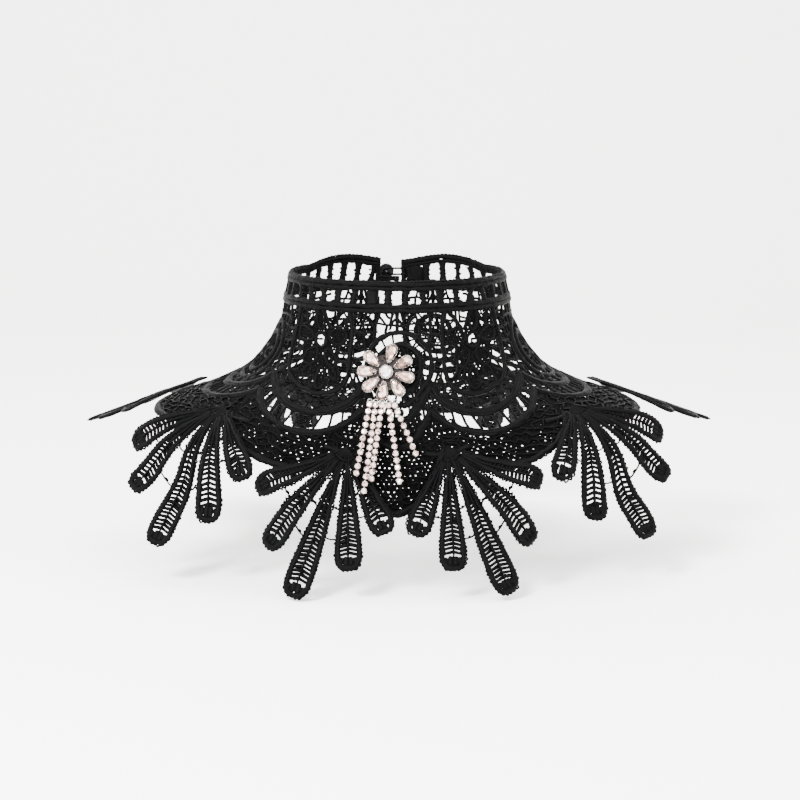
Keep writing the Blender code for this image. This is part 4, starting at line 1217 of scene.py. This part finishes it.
def silverMaterial(name, bright, dull):
    material, tree, shader = newMaterial(name, {"Metallic": 1.0})
    where = addNode(tree, "ShaderNodeTexCoord")
    wear = addNode(tree, "ShaderNodeTexNoise", {"Scale": 1000 / silverLook["wearMm"], "Detail": 4.0},
                   {"Vector": (where, "Object")})
    tint = addNode(tree, "ShaderNodeValToRGB", None, {"Fac": (wear, "Fac")})
    tint.color_ramp.elements[0].position = 0.3
    tint.color_ramp.elements[0].color = linearColour(dull)
    tint.color_ramp.elements[1].position = 0.6
    tint.color_ramp.elements[1].color = linearColour(bright)
    gloss = addNode(tree, "ShaderNodeMapRange", {"To Min": 0.36, "To Max": 0.14}, {"Value": (wear, "Fac")})
    tree.links.new(tint.outputs["Color"], shader.inputs["Base Color"])
    tree.links.new(gloss.outputs["Result"], shader.inputs["Roughness"])
    return material


silver = silverMaterial("castSilverPlate", silverLook["brightColour"], silverLook["dullColour"])
# the back plate and the struts get a much darker copy of the silver: painted shade, so that the gaps between the stones
# read near-black
shadedSilver = silverMaterial("shadedSilverPlate", "#34302e", "#0e0c0c")

# Black polyester resin, moulded and polished: deep gloss with faint hairlines from handling.
buttonLook = {"colour": "#0b0b0d", "wornColour": "#1c1c20", "hairlineMm": 1.6}


def resinMaterial():
    material, tree, shader = newMaterial("polishedBlackResin", {
        "IOR": 1.53, "Specular IOR Level": 0.12, "Coat Weight": 0.05, "Coat Roughness": 0.05,
    })
    where = addNode(tree, "ShaderNodeTexCoord")
    hair = addNode(tree, "ShaderNodeTexNoise", {"Scale": 1000 / buttonLook["hairlineMm"], "Detail": 6.0, "Distortion": 1.5},
                   {"Vector": (where, "Object")})
    tint = addNode(tree, "ShaderNodeValToRGB", None, {"Fac": (hair, "Fac")})
    tint.color_ramp.elements[0].position = 0.45
    tint.color_ramp.elements[0].color = linearColour(buttonLook["colour"])
    tint.color_ramp.elements[1].position = 0.75
    tint.color_ramp.elements[1].color = linearColour(buttonLook["wornColour"])
    gloss = addNode(tree, "ShaderNodeMapRange", {"To Min": 0.10, "To Max": 0.24}, {"Value": (hair, "Fac")})
    tree.links.new(tint.outputs["Color"], shader.inputs["Base Color"])
    tree.links.new(gloss.outputs["Result"], shader.inputs["Roughness"])
    return material


resin = resinMaterial()

# brooch of eight pear-cut stones round one brilliant
broochLook = {
    "azimuth": math.radians(-4.8),
    "down": 0.0432,
    "backLift": 0.0025,
    "stoneLift": 0.0038,
    "petalTurns": (14, 61, 103, 144, 189, 230, 271, 312),   # degrees clockwise from the top
    "petalInner": 0.0042,
    "petalOuter": 0.0137,
    "petalWidth": 0.0054,
    "petalHeight": 0.0030,
    "stoneRadius": 0.0032,
    "stoneHeight": 0.0038,
}


def pearRing(shrink, height, count=16, start=0.0, grow=0.0):
    # outline of a pear-cut stone, its point towards the middle of the brooch
    look = broochLook
    length = look["petalOuter"] - look["petalInner"]
    middle = look["petalInner"] + length * 0.55
    ring = []
    for k in range(count):
        turn = 2 * math.pi * (k + start) / count
        reach = math.cos(turn)
        width = look["petalWidth"] * 0.47 * math.sin(turn) * (1 + 0.40 * reach)
        along = length * (0.45 if reach > 0 else 0.55) * reach
        length_ = math.hypot(width, along) or 1
        ring.append((width * shrink + grow * width / length_, middle + along * shrink + grow * along / length_, height))
    return ring


def makeBrooch():
    look = broochLook
    settings = Shapes()
    for number, clockwise in enumerate(look["petalTurns"], 1):
        place = seat(look["azimuth"], look["down"], look["stoneLift"], -math.radians(clockwise))
        high = look["petalHeight"]
        stone = Shapes()
        stone.addRings([pearRing(0.80, high * 0.06), pearRing(0.95, high * 0.34), pearRing(0.93, high * 0.40)], place, closeEnd=False)
        stone.addRings([pearRing(0.93, high * 0.40), pearRing(0.68, high * 0.80, start=0.5), pearRing(0.30, high * 1.0)],
                       place, twist=True, closeStart=False)
        piece = stone.make(f"petalStone{number}", petalCrystal, False)
        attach(piece, "root")
        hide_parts(f"petal_{number}")
        # the cup: an open collar of metal about the stone, with a rolled lip and prongs
        settings.addRings([pearRing(0.86, -0.0002, 24), pearRing(1.00, high * 0.10, 24), pearRing(1.03, high * 0.30, 24),
                           pearRing(0.99, high * 0.33, 24), pearRing(0.95, high * 0.24, 24)], place, closeEnd=False)
        for share in (0.0, 0.19, 0.36, 0.5, 0.64, 0.81):
            turn = 2 * math.pi * share
            base = pearRing(1.0, high * 0.30, 1, turn / (2 * math.pi))[0]
            tip = pearRing(0.80, high * 0.72, 1, turn / (2 * math.pi))[0]
            between = tuple((a + b) / 2 for a, b in zip(base, tip))
            between = (between[0], between[1], high * 0.62)
            addWire(settings, [base, between, tip], 0.00026, place, 6)
    hub = seat(look["azimuth"], look["down"], look["stoneLift"])
    high, wide = look["stoneHeight"], look["stoneRadius"]
    stone = Shapes()
    stone.addRings([roundRing(wide * 0.70, high * 0.12, 16), roundRing(wide * 0.96, high * 0.38, 16),
                    roundRing(wide * 0.94, high * 0.46, 16)], hub, closeEnd=False)
    stone.addRings([roundRing(wide * 0.94, high * 0.46, 16), roundRing(wide * 0.76, high * 0.78, 16, math.pi / 16),
                    roundRing(wide * 0.44, high * 0.98, 16)], hub, twist=True, closeStart=False)
    centre = stone.make("centreBrilliant", centreCrystal, False)
    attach(centre, "root")
    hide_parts("centre_stone")
    settings.addRings([roundRing(wide * 0.80, 0.0, 24), roundRing(wide * 1.02, high * 0.2, 24), roundRing(wide * 1.04, high * 0.42, 24),
                       roundRing(wide * 0.97, high * 0.44, 24), roundRing(wide * 0.95, high * 0.36, 24)], hub, closeEnd=False)
    for k in range(6):
        turn = 2 * math.pi * k / 6 + 0.3
        aim = Vector((math.cos(turn), math.sin(turn), 0))
        addWire(settings, [aim * wide * 1.0 + Vector((0, 0, high * 0.3)), aim * wide * 0.99 + Vector((0, 0, high * 0.56)),
                           aim * wide * 0.80 + Vector((0, 0, high * 0.74))], 0.00036, hub, 6)
    struts = Shapes()
    for number in range(8):                      # struts that carry the cups on the back plate
        turn = -math.radians(look["petalTurns"][number])
        aim = Matrix.Rotation(turn, 4, "Z") @ Vector((0, 1, 0))
        addWire(struts, [aim * 0.0030 + Vector((0, 0, 0.0002)), aim * 0.0080 + Vector((0, 0, 0.0002)),
                         aim * 0.0125 + Vector((0, 0, 0.0003))], 0.0005, hub, 6)
    # the struts are painted shade, in the darker copy of the silver
    strutPiece = struts.make("petalStruts", shadedSilver, True)
    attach(strutPiece, "root")
    plate = Shapes()
    back = seat(look["azimuth"], look["down"], look["backLift"])
    plate.addRings([roundRing(0.0078, 0.0, 40), roundRing(0.0085, 0.0003, 40), roundRing(0.0085, 0.0007, 40),
                    roundRing(0.0078, 0.0010, 40)], back)
    # the back plate is painted shade too, in the darker copy of the silver
    plateRim = plate.make("broochBackPlate", shadedSilver, False)
    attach(plateRim, "root")
    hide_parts("brooch_back")
    cups = settings.make("petalCups", silver, True)
    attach(cups, "root")


makeBrooch()

# five cup chains that hang from a bar behind the lower petals
chainLook = {
    "startDown": 0.0596,
    "startLift": 0.0062,
    "endLift": 0.0088,
    "pitch": 0.0033,
    "stoneRadius": 0.00148,
}
# across at the top, across at the end, distance down at the end
chainRuns = (
    (-0.0122, -0.0192, 0.0950), (-0.0095, -0.0158, 0.1030), (-0.0067, -0.0122, 0.0965),
    (-0.0039, 0.0012, 0.0970), (-0.0011, 0.0088, 0.0840),
)


def makeChains():
    look = chainLook
    stones, cups = Shapes(), Shapes()
    radius = look["stoneRadius"]      # the stones nearly touch along a chain
    for run in chainRuns:
        shares = np.linspace(0, 1, 60)
        fine = []
        for share in shares:
            across = run[0] + (run[1] - run[0]) * share
            down = look["startDown"] + (run[2] - look["startDown"]) * share
            lift = look["startLift"] + (look["endLift"] - look["startLift"]) * share ** 0.5
            fine.append((azimuthAcross(across, down), down, lift))
        fine = np.array(fine)
        places, _ = clothSurface(fine[:, 0], fine[:, 1], fine[:, 2])
        length = np.concatenate(([0], np.cumsum(np.linalg.norm(np.diff(places, axis=0), axis=1))))
        count = int(length[-1] / look["pitch"]) + 1
        stops = np.linspace(0.0004, length[-1] - 0.0002, count)
        spots = np.stack([np.interp(stops, length, fine[:, k]) for k in range(3)], axis=1)
        centres = []
        for k, (azimuth, down, lift) in enumerate(spots):
            place = seat(azimuth, down, lift, rng.normal(0, 0.16) + math.pi / 4)
            place = place @ Matrix.Rotation(rng.normal(0, 0.10), 4, "X") @ Matrix.Rotation(rng.normal(0, 0.10), 4, "Y")
            stones.addRings([roundRing(radius * 0.72, -0.0004, 10), roundRing(radius * 1.02, 0.0, 10)], place, closeEnd=False)
            stones.addRings([roundRing(radius * 1.02, 0.0, 10), roundRing(radius * 0.80, 0.0008, 10, math.pi / 10),
                             roundRing(radius * 0.46, 0.00125, 10)], place, twist=True, closeStart=False)
            cups.addRings([roundRing(radius * 0.66, -0.0011, 12), roundRing(radius * 0.92, -0.0006, 12), roundRing(radius * 0.97, -0.0001, 12),
                           roundRing(radius * 0.90, -0.0001, 12), roundRing(radius * 0.80, -0.0005, 12)], place, closeEnd=False)
            for n in range(4):
                turn = math.pi / 2 * n
                aim = Vector((math.cos(turn), math.sin(turn), 0))
                addWire(cups, [aim * radius * 1.0 + Vector((0, 0, -0.0002)), aim * radius * 0.98 + Vector((0, 0, 0.0005)),
                               aim * radius * 0.74 + Vector((0, 0, 0.0009))], 0.00022, place, 5)
            centres.append(place.translation.copy())
        for a, b in zip(centres, centres[1:]):     # link between two cups
            out = Vector((0, 1, 0))
            addWire(cups, [tuple(a + out * 0.0007), tuple((a + b) / 2 + out * 0.0009), tuple(b + out * 0.0007)], 0.0004,
                    Matrix.Identity(4), 6)
        # jump ring at the top
        first = seat(*spots[0])
        ring = [(0.0011 * math.cos(t), 0.0018 + 0.0011 * math.sin(t), -0.0004) for t in np.linspace(0, 2 * math.pi, 14, endpoint=False)]
        addWire(cups, ring, 0.00028, first, 6, closed=True)
    bar = []
    for share in np.linspace(0, 1, 12):
        across = chainRuns[0][0] + (chainRuns[-1][0] - chainRuns[0][0]) * share + 0.0012 * (2 * share - 1)
        azimuth = azimuthAcross(across, look["startDown"])
        bar.append(tuple(clothSurface(np.float64(azimuth), np.float64(look["startDown"] - 0.0012), look["startLift"] - 0.0008)[0]))
    addWire(cups, bar, 0.0007, Matrix.Identity(4), 8)
    stonePiece = stones.make("chainStones", chainCrystal, False)
    cupPiece = cups.make("chainCups", silver, True)
    for piece, name in ((stonePiece, "pink crystal"), (cupPiece, "silver setting")):
        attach(piece, "root")
    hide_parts("brooch_chains")


makeChains()

# dome button at the left end of the band, and the thread loop of the right end
fasteningLook = {
    "buttonRadius": 0.0040,
    "buttonHeight": 0.0028,
    "across": -0.0052,
    "down": 0.0062,
    "shankRadius": 0.0008,
    "loopRadius": 0.0005,
    "seamGap": 0.0003,
}


def makeFastening():
    look = fasteningLook
    azimuth = math.pi + math.asin(-look["across"] / neck["halfWidth"])
    loopLift = neck["wall"] + neck["cordRaise"] + look["seamGap"] + look["loopRadius"]
    buttonLift = loopLift + look["loopRadius"] + look["seamGap"]
    place = seat(azimuth, look["down"], buttonLift)
    wide, high = look["buttonRadius"], look["buttonHeight"]
    button = Shapes()
    profile = [(0.0007, 0.0), (0.0015, -0.0001), (0.0019, 0.0002), (0.0030, 0.0002), (0.0034, -0.0001), (0.0038, 0.0),
               (wide, 0.0005), (wide * 0.985, 0.0010), (wide * 0.90, 0.0017), (wide * 0.70, 0.0023),
               (wide * 0.42, high * 0.95), (wide * 0.15, high), (wide * 0.02, high)]
    button.addRings([roundRing(r, z, 40) for r, z in profile], place, closeStart=False)
    shank = -(buttonLift - neck["wall"] - look["seamGap"])
    button.addRings([roundRing(look["shankRadius"] * 0.9, shank, 20), roundRing(look["shankRadius"], shank * 0.7, 20),
                     roundRing(look["shankRadius"] * 0.8, shank * 0.3, 20), roundRing(look["shankRadius"] * 1.1, 0.0002, 20)], place)
    buttonPiece = button.make("domeButton", resin, True)
    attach(buttonPiece, "root")
    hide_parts("button")
    bend = look["shankRadius"] + look["seamGap"] + look["loopRadius"]
    reach = 0.0115
    line = [(reach, bend)] + [(reach * k / 6, bend) for k in range(5, 0, -1)]
    line += [(bend * math.cos(t), bend * math.sin(t)) for t in np.linspace(math.pi / 2, 3 * math.pi / 2, 9)]
    line += [(reach * k / 6, -bend) for k in range(1, 6)] + [(reach, -bend)]
    fine = smoothLine(np.array(line), 0.00030)
    level = loopLift - buttonLift
    loop = Shapes()
    ahead = np.gradient(fine, axis=0)
    ahead /= np.linalg.norm(ahead, axis=1, keepdims=True)
    run = np.arange(len(fine)) * 0.00030
    for ply in (0, 1):                          # two plies twisted together
        swing = 2 * math.pi * run / 0.0022 + ply * math.pi
        beside = np.stack([-ahead[:, 1], ahead[:, 0]], axis=1) * (0.00024 * np.cos(swing))[:, None]
        points = [(-(x + dx), y + dy, level + 0.00024 * math.sin(s)) for (x, y), (dx, dy), s in zip(fine, beside, swing)]
        addWire(loop, points, 0.00036, place, 6)
    # sewing thread wound about the shank and through the tab
    winding = []
    for t in np.linspace(0, 5 * 2 * math.pi, 70):
        winding.append((0.00100 * math.cos(t), 0.00100 * math.sin(t), shank * 0.55 - 0.0008 * t / (5 * 2 * math.pi)))
    addWire(loop, winding, 0.00014, place, 5)
    loopPiece = loop.make("buttonLoop", rayon, True)
    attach(loopPiece, "root")
    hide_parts("loop")


makeFastening()
print("findings made")

# pale floor that curves up behind, soft light and the photograph's view
stageLook = {"floorColour": "#fbfaf9", "floorRoughness": 0.7, "worldColour": "#ffffff", "worldStrength": 3.8}


def makeStage():
    material, tree, shader = newMaterial("matteStudioPaper", {
        "Base Color": linearColour(stageLook["floorColour"]), "Roughness": stageLook["floorRoughness"]})
    low = cadBox[0][2] - 0.0008
    profile = [(-1.6, low), (0.9, low)]
    profile += [(0.9 + 0.6 * math.sin(t), low + 0.6 * (1 - math.cos(t))) for t in np.linspace(0.1, math.pi / 2, 16)]
    profile.append((1.5, 2.4))
    points, faces = [], []
    for y, z in profile:
        points += [(-2.4, y, z), (2.4, y, z)]
    for k in range(len(profile) - 1):
        faces.append((2 * k, 2 * k + 1, 2 * k + 3, 2 * k + 2))
    mesh = bpy.data.meshes.new("studioPaper")
    mesh.from_pydata(points, [], faces)
    mesh.polygons.foreach_set("use_smooth", [True] * len(faces))
    mesh.materials.append(material)
    paper = bpy.data.objects.new("studioPaper", mesh)
    bpy.context.scene.collection.objects.link(paper)
    world = bpy.data.worlds.new("softRoom")
    world.use_nodes = True
    back = world.node_tree.nodes["Background"]
    back.inputs["Color"].default_value = linearColour(stageLook["worldColour"])
    back.inputs["Strength"].default_value = stageLook["worldStrength"]
    bpy.context.scene.world = world
    lights = (
        # name, place, width, power
        ("keySoftbox", (-0.55, -0.95, 0.85), 0.35, 75),
        ("fillSoftbox", (0.85, -0.70, 0.45), 0.7, 10),
        ("topSoftbox", (0.0, 0.25, 1.00), 0.7, 14),
    )
    for name, spot, width, power in lights:
        lamp = bpy.data.lights.new(name, "AREA")
        lamp.size = width
        lamp.energy = power
        made = bpy.data.objects.new(name, lamp)
        made.location = spot
        made.rotation_euler = (Vector((0, 0, -0.02)) - Vector(spot)).to_track_quat("-Z", "Y").to_euler()
        bpy.context.scene.collection.objects.link(made)
    camera = bpy.data.cameras.new("photoView")
    camera.lens = 99
    camera.sensor_width = 36
    camera.shift_x = 3 / 800
    camera.shift_y = -11.7 / 800
    camera.clip_start = 0.01
    seen = bpy.data.objects.new("photoView", camera)
    tilt = math.radians(9)
    seen.location = (0, -1.1 * math.cos(tilt), -0.015 + 1.1 * math.sin(tilt))
    seen.rotation_euler = (math.pi / 2 - tilt, 0, 0)
    bpy.context.scene.collection.objects.link(seen)
    bpy.context.scene.camera = seen


makeStage()
print("stage ready")
